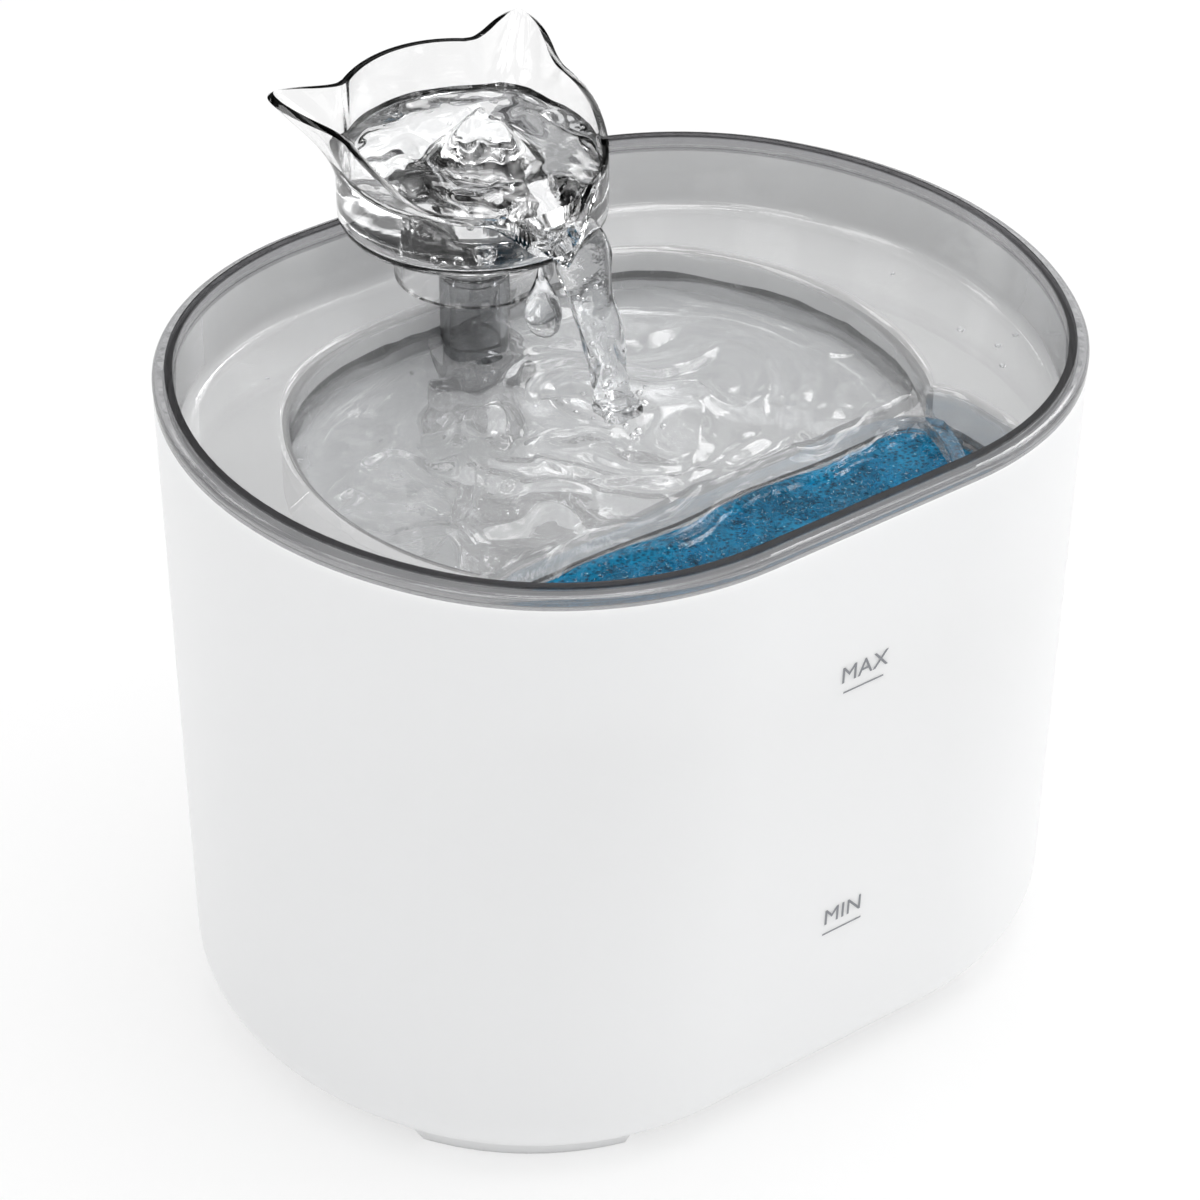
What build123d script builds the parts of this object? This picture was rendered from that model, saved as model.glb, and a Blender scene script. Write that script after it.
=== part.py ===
from build123d import *
import os
from math import acos, atan2, cos, degrees, radians, sin, sqrt

# Pet water fountain. Millimetres, +Z up, +Y to the back. The origin is on the floor under
# the middle of the tank. Each function below makes one piece, at its place in the fountain.

# ---- driving dimensions -------------------------------------------------------------
WIDTH = 200.0              # over the rim, left to right
DEPTH = 165.4              # over the rim, front to back
RIM_TOP = 154.0            # top of the tray's rim bead
BASE_WIDTH = 198.2         # the same outline where the walls would reach the floor
BASE_DEPTH = 147.3
RIM_CORNER = 69.5          # radius of the four corner arcs, at the rim and at the floor
BASE_CORNER = 66.0
CORNER_TURN = 58.0         # angle that each corner arc turns through

TANK_TOP = 150.2           # the tray's flange rests here
TANK_WALL = 2.2
TANK_UNDERSIDE = 2.75
TANK_FLOOR = 6.0
TANK_EDGE_R = 14.0         # rounding round the bottom of the tank
FOOT_INSET = 8.6           # from the tank's outline to the foot's outer edge
FOOT_BAND = 11.0
FOOT_FROM = (46.2, 64.0)   # plan points between which a foot runs along the outline
FOOT_TO = (82.0, 33.5)
FOOT_BOTTOM = 0.3
PAD_DEPTH = 1.6

GROMMET_X = 24.0
GROMMET_Z = 124.0
GROMMET_HOLE_R = 5.0
CORD_R = 2.0               # bore for the supply cord

TRAY_GAP = 0.5             # between the tank's wall and the tray's
TRAY_WALL = 1.7
FLANGE_TOP = 153.2
RING_FLOOR = 136.0         # sunken floor round the bowl
TRAY_PLATE = 2.0
BOWL_WIDTH = 137.0         # nearly round bowl with a flattened back
BOWL_BACK = 61.0
BOWL_FRONT = -52.0
BOWL_CORNER = 42.0
BOWL_TURN = 56.0
BOWL_LIP_R = 3.0
BOWL_FLOOR = 115.0
WEIR_Y = -24.2             # bowl side of the weir
WEIR_TOP = 128.6
POCKET_HALF = 62.0
POCKET_BACK = -26.2
POCKET_FRONT = -66.0
POCKET_CORNER = 16.0
POCKET_FLOOR = 104.0
POCKET_SLOTS = 11
POCKET_SLOT = (3.0, 24.0)
POCKET_SLOT_PITCH = 9.6

AXIS_Y = 53.2              # riser, collar and cup stand on this axis, at x = 0
RISER_R = 7.8
RISER_BORE = 5.6
RISER_BOTTOM = 88.0
RISER_SHOULDER = 149.0
SPIGOT_R = 6.6
SPIGOT_BORE = 4.4
SPIGOT_TOP = 158.0
SEAL_R = 0.7
BOSS_R = 10.8
BOSS_TOP = 126.0
BOSS_BOTTOM = 106.0

COLLAR_R = 17.6
COLLAR_BOTTOM = 147.3
COLLAR_BORE = 6.68
COLLAR_WALL = 1.8
NECK_R = 9.0
NECK_TOP = 167.0
STOP_PITCH_R = 13.0
STOP_PIN_R = 1.2
STOP_HEIGHT = 1.2
SWIVEL = 60.0              # the cup turns this far each way

CUP_BASE = 161.0
CUP_TOP = 189.8
CUP_R = 29.6
CUP_WALL = 1.7
CUP_FLOOR = 2.6
CUP_EDGE_R = 2.4
NOTCH_HALF = 12.6          # V notch in the front wall
NOTCH_TOP = 174.8
NOTCH_BOTTOM = 163.6
BEAK_TIP_Y = 19.4
EAR_NEAR = (29.3, 60.0)    # where an ear's two edges leave the wall, and its tip
EAR_FAR = (18.0, 78.2)
EAR_TIP = (36.2, 80.9)
EAR_TIP_R = 3.8
EAR_ROOT = 173.5           # the ear starts to flare out of the wall at this height

FILTER_GAP = 0.5
FRAME_WALL = 1.5
FRAME_TOP = 125.0
FRAME_BARS = 5
CARBON_TOP = 112.0
SPONGE_TOP = 124.4
HOLD_BAR_TOP = 129.0
HOLD_BAR_R = 60.8          # the two hold-down bars carry on the bowl's round outline
HOLD_BAR_Y = -18.3
HOLD_BAR_WIDTH = 3.2

ROTOR_Y = 47.0             # pump rotor axis, parallel to X
ROTOR_Z = 35.0
SHAFT_R = 1.2
ROTOR_BORE = 1.26
MAGNET_R = 6.0
WELL_R = 6.5
WELL_WALL = 1.2
WELL_END = 33.5
CHAMBER_R = 12.6
CHAMBER_WALL = 2.4
CHAMBER_FRONT = -8.0
MOTOR_FRONT = 7.0
MOTOR_BACK = 44.0
MOTOR_HALF_Y = 19.0
MOTOR_BOTTOM = 9.0
MOTOR_TOP = 51.0
MOTOR_WALL = 2.0
MOTOR_FLOOR = 3.0
END_PLATE = 2.0
NOZZLE_R = 4.5
NOZZLE_BORE = 3.1
NOZZLE_TOP = 62.0
BLADES = 6
BUSH_R = 2.6
CAGE_R = 16.9
CAGE_BORE = 15.3
CAGE_FRONT = -24.0
CAGE_BACK = -5.2
CAGE_FACE = 1.6
GATE_HALF = 7.0
GATE_BOTTOM = 35.5
GATE_TOP = 47.5
GATE_SLOTS = 3
GATE_SLOT_Z = 30.5         # middle of the slots that the gate closes when it slides down
GATE_TRAVEL = 10.0
GLAND_Z = 44.0
SUCKER_R = 6.5
SUCKER_X = (14.0, 37.0)
SUCKER_Y = (36.0, 52.0)
HOSE_BOTTOM = 52.0
HOSE_TOP = 98.0


# ---- shared outlines ------------------------------------------------------------------
def racetrack(width, depth, corner, turn=CORNER_TURN, inset=0.0):
    """Face with a flat front and back, corner arcs and wide end arcs, all tangent."""
    end = corner - (corner - depth / 2) / cos(radians(turn))
    flat = width / 2 - end - (corner - end) * sin(radians(turn))
    small, large, half = corner - inset, end - inset, depth / 2 - inset
    low = -depth / 2 + corner
    high = -low
    far = width / 2 - end
    edges = [
        Line((-flat, -half), (flat, -half)),
        CenterArc((flat, low), small, -90, turn),
        CenterArc((far, 0), large, turn - 90, 180 - 2 * turn),
        CenterArc((flat, high), small, 90 - turn, turn),
        Line((flat, half), (-flat, half)),
        CenterArc((-flat, high), small, 90, turn),
        CenterArc((-far, 0), large, 90 + turn, 180 - 2 * turn),
        CenterArc((-flat, low), small, 270 - turn, turn),
    ]
    return make_face(edges)


def section(z, inset=0.0):
    """The body's outline at height z: the walls lean out from the base to the rim."""
    part = z / RIM_TOP
    width = BASE_WIDTH + (WIDTH - BASE_WIDTH) * part
    depth = BASE_DEPTH + (DEPTH - BASE_DEPTH) * part
    corner = BASE_CORNER + (RIM_CORNER - BASE_CORNER) * part
    return Pos(0, 0, z) * racetrack(width, depth, corner, inset=inset)


def shell(low, high, inset=0.0):
    return loft([section(low, inset), section(high, inset)], ruled=True)


def ring(outer, inner, low, high):
    """Plain tube about Z."""
    height = high - low
    tube = Cylinder(outer, height, align=(Align.CENTER, Align.CENTER, Align.MIN))
    bore = Cylinder(inner, height, align=(Align.CENTER, Align.CENTER, Align.MIN))
    return Pos(0, 0, low) * (tube - bore)


def rod(radius, low, high):
    return Pos(0, 0, low) * Cylinder(radius, high - low, align=(Align.CENTER, Align.CENTER, Align.MIN))


def along_x(part):
    """Turn a piece built about Z so that it lies on the pump's rotor axis."""
    return Pos(0, ROTOR_Y, ROTOR_Z) * Rot(0, 90, 0) * part


def bottom_edges(part, z, slack=0.05):
    return [e for e in part.edges() if abs(e.bounding_box().max.Z - z) < slack]


def block(x0, x1, y0, y1, z0, z1):
    return Pos((x0 + x1) / 2, (y0 + y1) / 2, (z0 + z1) / 2) * Box(x1 - x0, y1 - y0, z1 - z0)


# ---- tank -------------------------------------------------------------------------------
def foot_wedge():
    """Plan sector of the front-right foot, from the middle of the tank outwards."""
    reach = 2.0
    near = (FOOT_FROM[0] * reach, -FOOT_FROM[1] * reach)
    far = (FOOT_TO[0] * reach, -FOOT_TO[1] * reach)
    return make_face(Polyline((0, 0), near, far, (0, 0)))


def foot_plan(inset, band):
    outline = racetrack(BASE_WIDTH, BASE_DEPTH, BASE_CORNER, inset=inset)
    hole = racetrack(BASE_WIDTH, BASE_DEPTH, BASE_CORNER, inset=inset + band)
    return (outline - hole) & foot_wedge()


def at_four_corners(part):
    right = part + mirror(part, about=Plane.XZ)
    return right + mirror(right, about=Plane.YZ)


def wall_plane():
    """On the back wall's mid-thickness at the cord hole, facing out along its normal."""
    lean = (DEPTH - BASE_DEPTH) / 2 / RIM_TOP
    length = sqrt(1 + lean * lean)
    outer = (BASE_DEPTH + (DEPTH - BASE_DEPTH) * GROMMET_Z / RIM_TOP) / 2
    middle = (GROMMET_X, outer - TANK_WALL / 2, GROMMET_Z)
    return Plane(origin=middle, x_dir=(1, 0, 0), z_dir=(0, 1 / length, -lean / length))


def make_tank():
    outer = shell(TANK_UNDERSIDE, TANK_TOP)
    outer = fillet(bottom_edges(outer, TANK_UNDERSIDE), TANK_EDGE_R)
    foot_height = TANK_FLOOR - 1.0 - FOOT_BOTTOM
    foot = extrude(Pos(0, 0, TANK_FLOOR - 1.0) * foot_plan(FOOT_INSET - 2.0, FOOT_BAND + 3.0),
                   amount=-foot_height, taper=22)
    outer += at_four_corners(foot)
    inner = shell(TANK_FLOOR, TANK_TOP + 1.0, TANK_WALL)
    inner = fillet(bottom_edges(inner, TANK_FLOOR), TANK_EDGE_R - TANK_WALL)
    pad_hole = extrude(Pos(0, 0, FOOT_BOTTOM) * foot_plan(FOOT_INSET + 2.0, FOOT_BAND - 4.0),
                       amount=PAD_DEPTH - FOOT_BOTTOM)
    cord_hole = wall_plane() * Cylinder(GROMMET_HOLE_R, 4 * TANK_WALL)
    return outer - inner - at_four_corners(pad_hole) - cord_hole


def make_foot_pads():
    pad = extrude(foot_plan(FOOT_INSET + 2.0, FOOT_BAND - 4.0), amount=PAD_DEPTH)
    pad = fillet(bottom_edges(pad, 0.0), 0.25)
    return at_four_corners(pad)


def make_cord_grommet():
    flange, reach = 1.2, GROMMET_HOLE_R + 2.0
    thick = TANK_WALL * wall_plane().z_dir.Y
    lip = Cylinder(reach, flange)
    lip = fillet(lip.edges(), 0.4)
    body = Cylinder(GROMMET_HOLE_R, thick)
    body += Pos(0, 0, (thick + flange) / 2) * lip
    body += Pos(0, 0, -(thick + flange) / 2) * lip
    body -= Cylinder(CORD_R, thick + 3 * flange)
    slit = Pos(0, -reach / 2, 0) * Box(0.4, reach, thick + 3 * flange)
    return wall_plane() * (body - slit)


# ---- tray -------------------------------------------------------------------------------
def bowl_outline(grow=0.0):
    middle = (BOWL_BACK + BOWL_FRONT) / 2
    depth = BOWL_BACK - BOWL_FRONT
    return Pos(0, middle) * racetrack(BOWL_WIDTH, depth, BOWL_CORNER, BOWL_TURN, inset=-grow)


def bowl_cut_outline(grow=0.0):
    """The bowl behind the weir."""
    keep_front = WEIR_Y - grow
    whole = bowl_outline(grow)
    front = Pos(0, keep_front - 50) * Rectangle(2 * BOWL_WIDTH, 100)
    cut = whole - front
    corners = [v for v in cut.vertices() if abs(v.Y - keep_front) < 0.01]
    return fillet(corners, 7.0 + grow)


def pocket_outline(grow=0.0):
    width = 2 * (POCKET_HALF + grow)
    depth = POCKET_BACK - POCKET_FRONT + 2 * grow
    middle = (POCKET_BACK + POCKET_FRONT) / 2
    return Pos(0, middle) * RectangleRounded(width, depth, POCKET_CORNER + grow)


def make_tray():
    under = RING_FLOOR - TRAY_PLATE
    wall_inset = TANK_WALL + TRAY_GAP
    outer = shell(under, RIM_TOP, wall_inset)
    outer = fillet(bottom_edges(outer, under), 4.0)
    flange = shell(TANK_TOP, FLANGE_TOP)
    top = [e for e in flange.edges() if abs(e.bounding_box().min.Z - FLANGE_TOP) < 0.05]
    outer += fillet(top, 1.2)
    bowl_under = BOWL_FLOOR - TRAY_PLATE
    bowl_out = extrude(Pos(0, 0, bowl_under) * bowl_cut_outline(TRAY_PLATE), amount=under + 1 - bowl_under)
    outer += fillet(bottom_edges(bowl_out, bowl_under), 7.0)
    pocket_under = POCKET_FLOOR - 2.5
    pocket_out = extrude(Pos(0, 0, pocket_under) * pocket_outline(TRAY_PLATE), amount=under + 1 - pocket_under)
    outer += fillet(bottom_edges(pocket_out, pocket_under), 4.0)
    crest = extrude(Pos(0, 0, WEIR_TOP - 2.0) * bowl_outline(TRAY_PLATE), amount=under + 3 - WEIR_TOP)
    outer += crest
    outer += Pos(0, AXIS_Y, 0) * rod(BOSS_R, BOSS_BOTTOM, bowl_under + 1)

    inner = shell(RING_FLOOR, RIM_TOP + 1.0, wall_inset + TRAY_WALL)
    inner = fillet(bottom_edges(inner, RING_FLOOR), 2.5)
    bowl_in = extrude(Pos(0, 0, BOWL_FLOOR) * bowl_cut_outline(), amount=RING_FLOOR + 1 - BOWL_FLOOR)
    bowl_in = fillet(bottom_edges(bowl_in, BOWL_FLOOR), 6.0)
    pocket_in = extrude(Pos(0, 0, POCKET_FLOOR) * pocket_outline(), amount=RING_FLOOR + 1 - POCKET_FLOOR)
    pocket_in = fillet(bottom_edges(pocket_in, POCKET_FLOOR), 2.5)
    over_weir = extrude(Pos(0, 0, WEIR_TOP) * bowl_outline(), amount=RING_FLOOR + 1 - WEIR_TOP)
    inner += bowl_in + pocket_in + over_weir
    tray = outer - inner

    tray += Pos(0, AXIS_Y, 0) * rod(BOSS_R, BOWL_FLOOR - 1, BOSS_TOP)
    tray -= Pos(0, AXIS_Y, 0) * rod(RISER_R, BOSS_BOTTOM - 1, BOSS_TOP + 1)
    slot = SlotOverall(POCKET_SLOT[1], POCKET_SLOT[0], rotation=90)
    middle = (POCKET_BACK + POCKET_FRONT) / 2
    for i in range(POCKET_SLOTS):
        x = (i - (POCKET_SLOTS - 1) / 2) * POCKET_SLOT_PITCH
        tray -= extrude(Pos(x, middle, POCKET_FLOOR - 5) * slot, amount=10)
    lip = [e for e in tray.edges()
           if abs(e.bounding_box().min.Z - RING_FLOOR) < 0.01
           and abs(e.bounding_box().max.Z - RING_FLOOR) < 0.01
           and max(abs(e.bounding_box().min.X), abs(e.bounding_box().max.X)) < BOWL_WIDTH / 2 + 0.5
           and e.bounding_box().max.Y < BOWL_BACK + 0.5
           and e.bounding_box().min.Y > POCKET_FRONT - 0.5]
    return fillet(lip, BOWL_LIP_R)


def make_riser_tube():
    """Stands in the bowl's boss; its shoulder carries the collar."""
    tube = ring(RISER_R, RISER_BORE, RISER_BOTTOM, RISER_SHOULDER - 3.0)
    tube += ring(RISER_R, SPIGOT_BORE, RISER_SHOULDER - 3.0, RISER_SHOULDER)
    tube += ring(SPIGOT_R, SPIGOT_BORE, RISER_SHOULDER, SPIGOT_TOP)
    groove = ring(SPIGOT_R + 1, SPIGOT_R - 2 * SEAL_R + 0.05, SPIGOT_TOP - 4.0, SPIGOT_TOP - 4.0 + 2 * SEAL_R)
    return Pos(0, AXIS_Y, 0) * (tube - groove)


def make_neck_seal():
    return Pos(0, AXIS_Y, SPIGOT_TOP - 4.0 + SEAL_R) * Torus(SPIGOT_R + 0.05 - SEAL_R, SEAL_R)


# ---- collar and cup -----------------------------------------------------------------
def make_cup_collar():
    """Skirted coupling: its sleeve sits on the riser's shoulder, and its neck carries the cup."""
    body = ring(COLLAR_R, COLLAR_R - COLLAR_WALL, COLLAR_BOTTOM, CUP_BASE)
    body += ring(NECK_R, COLLAR_BORE, RISER_SHOULDER, NECK_TOP)
    body += ring(COLLAR_R, NECK_R, CUP_BASE - COLLAR_WALL, CUP_BASE)
    body += Pos(0, -STOP_PITCH_R, 0) * rod(STOP_PIN_R, CUP_BASE - 1, CUP_BASE + STOP_HEIGHT)
    return Pos(0, AXIS_Y, 0) * body


def above_rim():
    """Solid that fills everything above the rim, which is high at the back and dips to the front."""
    start, bend, far, top = (14.0, 174.3), (33.0, 176.0), 95.0, CUP_TOP + 20
    curve = Spline(bend, (39.0, 177.5), (47.0, 181.6), (56.0, 184.8), (68.0, 187.2), (84.0, CUP_TOP),
                   tangents=[(bend[0] - start[0], bend[1] - start[1]), (6, 1)])
    closing = Polyline((84.0, CUP_TOP), (far, CUP_TOP), (far, top), (0, top), (0, start[1]), start)
    face = make_face([Line(start, bend), curve] + list(closing.edges()))
    return extrude(Plane.YZ * face, amount=60, both=True)


def cup_drum(inset, low, high):
    return Pos(0, AXIS_Y, 0) * rod(CUP_R - inset, low, high)


def v_face(half, top, bottom):
    return make_face(Polyline((-half, top), (half, top), (0, bottom), (-half, top)))


def ear_leaf(reach, inset, z):
    """Plan of the right ear: two hollow sides that meet in a tip, reach of the full length."""
    root = ((EAR_NEAR[0] + EAR_FAR[0]) / 2, (EAR_NEAR[1] + EAR_FAR[1]) / 2)
    out = (EAR_TIP[0] - root[0], EAR_TIP[1] - root[1])
    length = sqrt(out[0] ** 2 + out[1] ** 2)
    shift = (length * reach - 2.4 * inset) / length
    tip = (root[0] + out[0] * shift, root[1] + out[1] * shift)
    narrow = inset / 10.0
    near = (EAR_NEAR[0] + (root[0] - EAR_NEAR[0]) * narrow, EAR_NEAR[1] + (root[1] - EAR_NEAR[1]) * narrow)
    far = (EAR_FAR[0] + (root[0] - EAR_FAR[0]) * narrow, EAR_FAR[1] + (root[1] - EAR_FAR[1]) * narrow)
    inward = (root[0] - out[0] * 0.7, root[1] - out[1] * 0.7)
    bow = 0.028 * reach
    side_a = ThreePointArc(near, between(near, tip, root, bow), tip)
    side_b = ThreePointArc(tip, between(far, tip, root, bow), far)
    return Pos(0, 0, z) * make_face([side_a, side_b, Line(far, inward), Line(inward, near)])


def between(start, end, toward, share):
    """Middle of a line, moved a share of the way to a third point."""
    middle = ((start[0] + end[0]) / 2, (start[1] + end[1]) / 2)
    return (middle[0] + (toward[0] - middle[0]) * share * 4, middle[1] + (toward[1] - middle[1]) * share * 4)


def ear_solid(inset):
    """The right ear as a flared spout, before the rim is trimmed."""
    ear = loft([ear_leaf(0.1, inset, EAR_ROOT), ear_leaf(1.0, inset, CUP_TOP)], ruled=True)
    if inset:
        return ear
    upright = [e for e in ear.edges() if e.bounding_box().size.Z > 1.0]
    keel = max(upright, key=lambda e: e.bounding_box().max.X + e.bounding_box().max.Y)
    return fillet(keel, EAR_TIP_R)


def make_beak():
    """Small V trough that carries the water clear of the wall."""
    thick = CUP_WALL * 1.35
    v_plane = Plane(origin=(0, AXIS_Y - CUP_R + 6, 0), x_dir=(1, 0, 0), z_dir=(0, -1, 0))
    outer = v_face(NOTCH_HALF + thick, NOTCH_TOP, NOTCH_BOTTOM - thick)
    trough = extrude(v_plane * outer, amount=14)
    front = AXIS_Y - CUP_R
    keep = make_face(Polyline((front + 9, NOTCH_TOP + 1), (front - 1.3, NOTCH_TOP + 1),
                              (BEAK_TIP_Y, NOTCH_BOTTOM - 1.0), (BEAK_TIP_Y + 4.0, CUP_BASE),
                              (front + 9, CUP_BASE), (front + 9, NOTCH_TOP + 1)))
    keep = extrude(Plane.YZ * keep, amount=30, both=True)
    return trough & keep


def make_spout_cup():
    cup = cup_drum(0, CUP_BASE, CUP_TOP)
    cup = fillet(bottom_edges(cup, CUP_BASE), CUP_EDGE_R)
    ear, ear_room = ear_solid(0.0), ear_solid(CUP_WALL)
    cup += ear + mirror(ear, about=Plane.YZ) + make_beak()
    inside = cup_drum(CUP_WALL, CUP_BASE + CUP_FLOOR, CUP_TOP + 1)
    inside = fillet(bottom_edges(inside, CUP_BASE + CUP_FLOOR), 2.0)
    cup -= inside
    cup -= Pos(0, 0, 0.8) * (ear_room + mirror(ear_room, about=Plane.YZ))
    cup -= above_rim()
    v_plane = Plane(origin=(0, AXIS_Y - 15, 0), x_dir=(1, 0, 0), z_dir=(0, -1, 0))
    cup -= extrude(v_plane * v_face(NOTCH_HALF * 1.5, NOTCH_TOP + (NOTCH_TOP - NOTCH_BOTTOM) / 2,
                                    NOTCH_BOTTOM), amount=30)
    cup -= Pos(0, AXIS_Y, 0) * rod(NECK_R + 0.08, CUP_BASE - 1, CUP_BASE + CUP_FLOOR + 1)
    cup += Pos(0, AXIS_Y, 0) * ring(NECK_R + 2.0, NECK_R + 0.08, CUP_BASE, NECK_TOP - 0.6)
    groove = SlotArc(CenterArc((0, 0), STOP_PITCH_R, 270 - SWIVEL, 2 * SWIVEL), 2 * STOP_PIN_R + 0.6)
    cup -= extrude(Pos(0, AXIS_Y, CUP_BASE - 1) * groove, amount=1 + STOP_HEIGHT + 0.3)
    return cup


# ---- filter -----------------------------------------------------------------------------
def filter_outline(gap):
    width = 2 * (POCKET_HALF - gap)
    depth = POCKET_BACK - POCKET_FRONT - 2 * gap
    return RectangleRounded(width, depth, POCKET_CORNER - gap)


def make_filter_frame():
    bottom = POCKET_FLOOR
    frame_outer = filter_outline(FILTER_GAP)
    frame_inner = filter_outline(FILTER_GAP + FRAME_WALL)
    band = extrude(Pos(0, 0, bottom + 2.6) * (frame_outer - frame_inner), amount=FRAME_TOP - bottom - 2.6)
    foot = filter_outline(FILTER_GAP + 3.0) - filter_outline(FILTER_GAP + 3.0 + FRAME_WALL)
    band += extrude(Pos(0, 0, bottom) * foot, amount=4.2)
    band += extrude(Pos(0, 0, bottom + 2.6) * (frame_outer - filter_outline(FILTER_GAP + 4.5)), amount=1.6)
    for i in range(FRAME_BARS):
        x = (i - (FRAME_BARS - 1) / 2) * 22.0
        band += block(x - 1, x + 1, -17, 17, bottom + 2.6, bottom + 4.2)
    bar = ring(HOLD_BAR_R + HOLD_BAR_WIDTH / 2, HOLD_BAR_R - HOLD_BAR_WIDTH / 2, SPONGE_TOP + 0.1, HOLD_BAR_TOP)
    middle = (POCKET_BACK + POCKET_FRONT) / 2
    inside = extrude(Pos(0, 0, bottom) * frame_outer, amount=HOLD_BAR_TOP)
    bars = (Pos(0, HOLD_BAR_Y - middle, 0) * bar) & inside
    band += bars - block(-HOLD_BAR_R / 2, HOLD_BAR_R / 2, -HOLD_BAR_R, HOLD_BAR_R, bottom, HOLD_BAR_TOP + 1)
    return Pos(0, middle, 0) * band


def make_pad(low, high):
    middle = (POCKET_BACK + POCKET_FRONT) / 2
    plan = filter_outline(FILTER_GAP + FRAME_WALL + 0.1)
    return extrude(Pos(0, middle, low) * plan, amount=high - low)


# ---- pump ---------------------------------------------------------------------------
def make_volute_cover():
    """Impeller chamber with its inlet holes, front bearing boss and outlet nozzle."""
    outer = CHAMBER_R + CHAMBER_WALL
    front_wall = 2.0
    body = rod(outer, CHAMBER_FRONT, MOTOR_FRONT)
    body -= rod(CHAMBER_R, CHAMBER_FRONT + front_wall, MOTOR_FRONT + 1)
    body += rod(BUSH_R + 1.6, CHAMBER_FRONT + 1, CHAMBER_FRONT + front_wall + 2.6)
    body -= rod(BUSH_R, CHAMBER_FRONT + front_wall, CHAMBER_FRONT + front_wall + 3)
    for i in range(6):
        body -= Rot(0, 0, 60 * i) * Pos(7.4, 0, 0) * rod(1.9, CHAMBER_FRONT - 1, CHAMBER_FRONT + front_wall + 1)
    body -= ring(14.5, 13.1, MOTOR_FRONT - 1.4, MOTOR_FRONT + 1)
    body = along_x(body)
    chamber = along_x(rod(CHAMBER_R, CHAMBER_FRONT + front_wall, MOTOR_FRONT))
    body += Pos(0, AXIS_Y, 0) * rod(NOZZLE_R, ROTOR_Z + 6, NOZZLE_TOP) - chamber
    return body - Pos(0, AXIS_Y, 0) * rod(NOZZLE_BORE, ROTOR_Z + 6, NOZZLE_TOP + 1)


def make_volute_seal():
    return along_x(Pos(0, 0, MOTOR_FRONT - 0.7) * Torus(13.8, 0.7))


def make_pump_housing():
    plate = 2.5
    body = block(MOTOR_FRONT, MOTOR_BACK, ROTOR_Y - MOTOR_HALF_Y, ROTOR_Y + MOTOR_HALF_Y, MOTOR_BOTTOM, MOTOR_TOP)
    body = fillet(body.edges().filter_by(Axis.X), 4.0)
    half = MOTOR_HALF_Y - MOTOR_WALL
    body -= block(MOTOR_FRONT + plate, MOTOR_BACK + 1, ROTOR_Y - half, ROTOR_Y + half,
                  MOTOR_BOTTOM + MOTOR_FLOOR, MOTOR_TOP - MOTOR_WALL)
    body += along_x(rod(WELL_R + WELL_WALL, MOTOR_FRONT, WELL_END + WELL_WALL))
    body -= along_x(rod(WELL_R, MOTOR_FRONT - 1, WELL_END))
    for x in SUCKER_X:
        for y in SUCKER_Y:
            body -= Pos(x, y, 0) * rod(2.5, MOTOR_BOTTOM - 1, MOTOR_BOTTOM + 2)
    return body


def make_pump_end_plate():
    half = MOTOR_HALF_Y - MOTOR_WALL
    plate = block(MOTOR_BACK - END_PLATE, MOTOR_BACK, ROTOR_Y - half, ROTOR_Y + half,
                  MOTOR_BOTTOM + MOTOR_FLOOR, MOTOR_TOP - MOTOR_WALL)
    hole = Pos(MOTOR_BACK, ROTOR_Y, GLAND_Z) * Rot(0, 90, 0) * Cylinder(3.0, 3 * END_PLATE)
    return plate - hole


def make_stator_core():
    """U of laminated iron: two poles beside the rotor well, joined under it."""
    x0, x1 = 12.0, 28.0
    core = block(x0, x1, ROTOR_Y - 14, ROTOR_Y + 14, 14, 20)
    for side in (-1, 1):
        inner = ROTOR_Y + side * (WELL_R + WELL_WALL + 0.5)
        outer = ROTOR_Y + side * 14
        core += block(x0, x1, min(inner, outer), max(inner, outer), 14, 44)
    return core


def make_stator_coil():
    coil = block(10.2, 29.8, ROTOR_Y - 7.4, ROTOR_Y + 7.4, 12.2, 21.8)
    coil = fillet(coil.edges().filter_by(Axis.Y), 1.5)
    return coil - block(12.0, 28.0, ROTOR_Y - 9, ROTOR_Y + 9, 14, 20)


def make_rotor_shaft():
    return along_x(rod(SHAFT_R, -5.4, WELL_END - 0.3))


def make_bush(low, high):
    return along_x(ring(BUSH_R, SHAFT_R, low, high))


def make_rear_bush():
    return along_x(ring(WELL_R, SHAFT_R, WELL_END - 2.2, WELL_END))


def make_impeller():
    hub, disc, reach = 3.4, 1.2, CHAMBER_R - 1.0
    body = rod(hub, -3.0, 5.6) + rod(reach, 4.4, 5.6) + rod(3.0, 5.6, 6.2)
    for i in range(BLADES):
        blade = block(hub - 0.6, reach, -disc / 2, disc / 2, -2.4, 4.6)
        body += Rot(0, 0, 360 / BLADES * i) * blade
    return along_x(body - rod(ROTOR_BORE, -4, 7))


def make_rotor_magnet():
    return along_x(ring(MAGNET_R, ROTOR_BORE, 6.2, 30.0))


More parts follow.
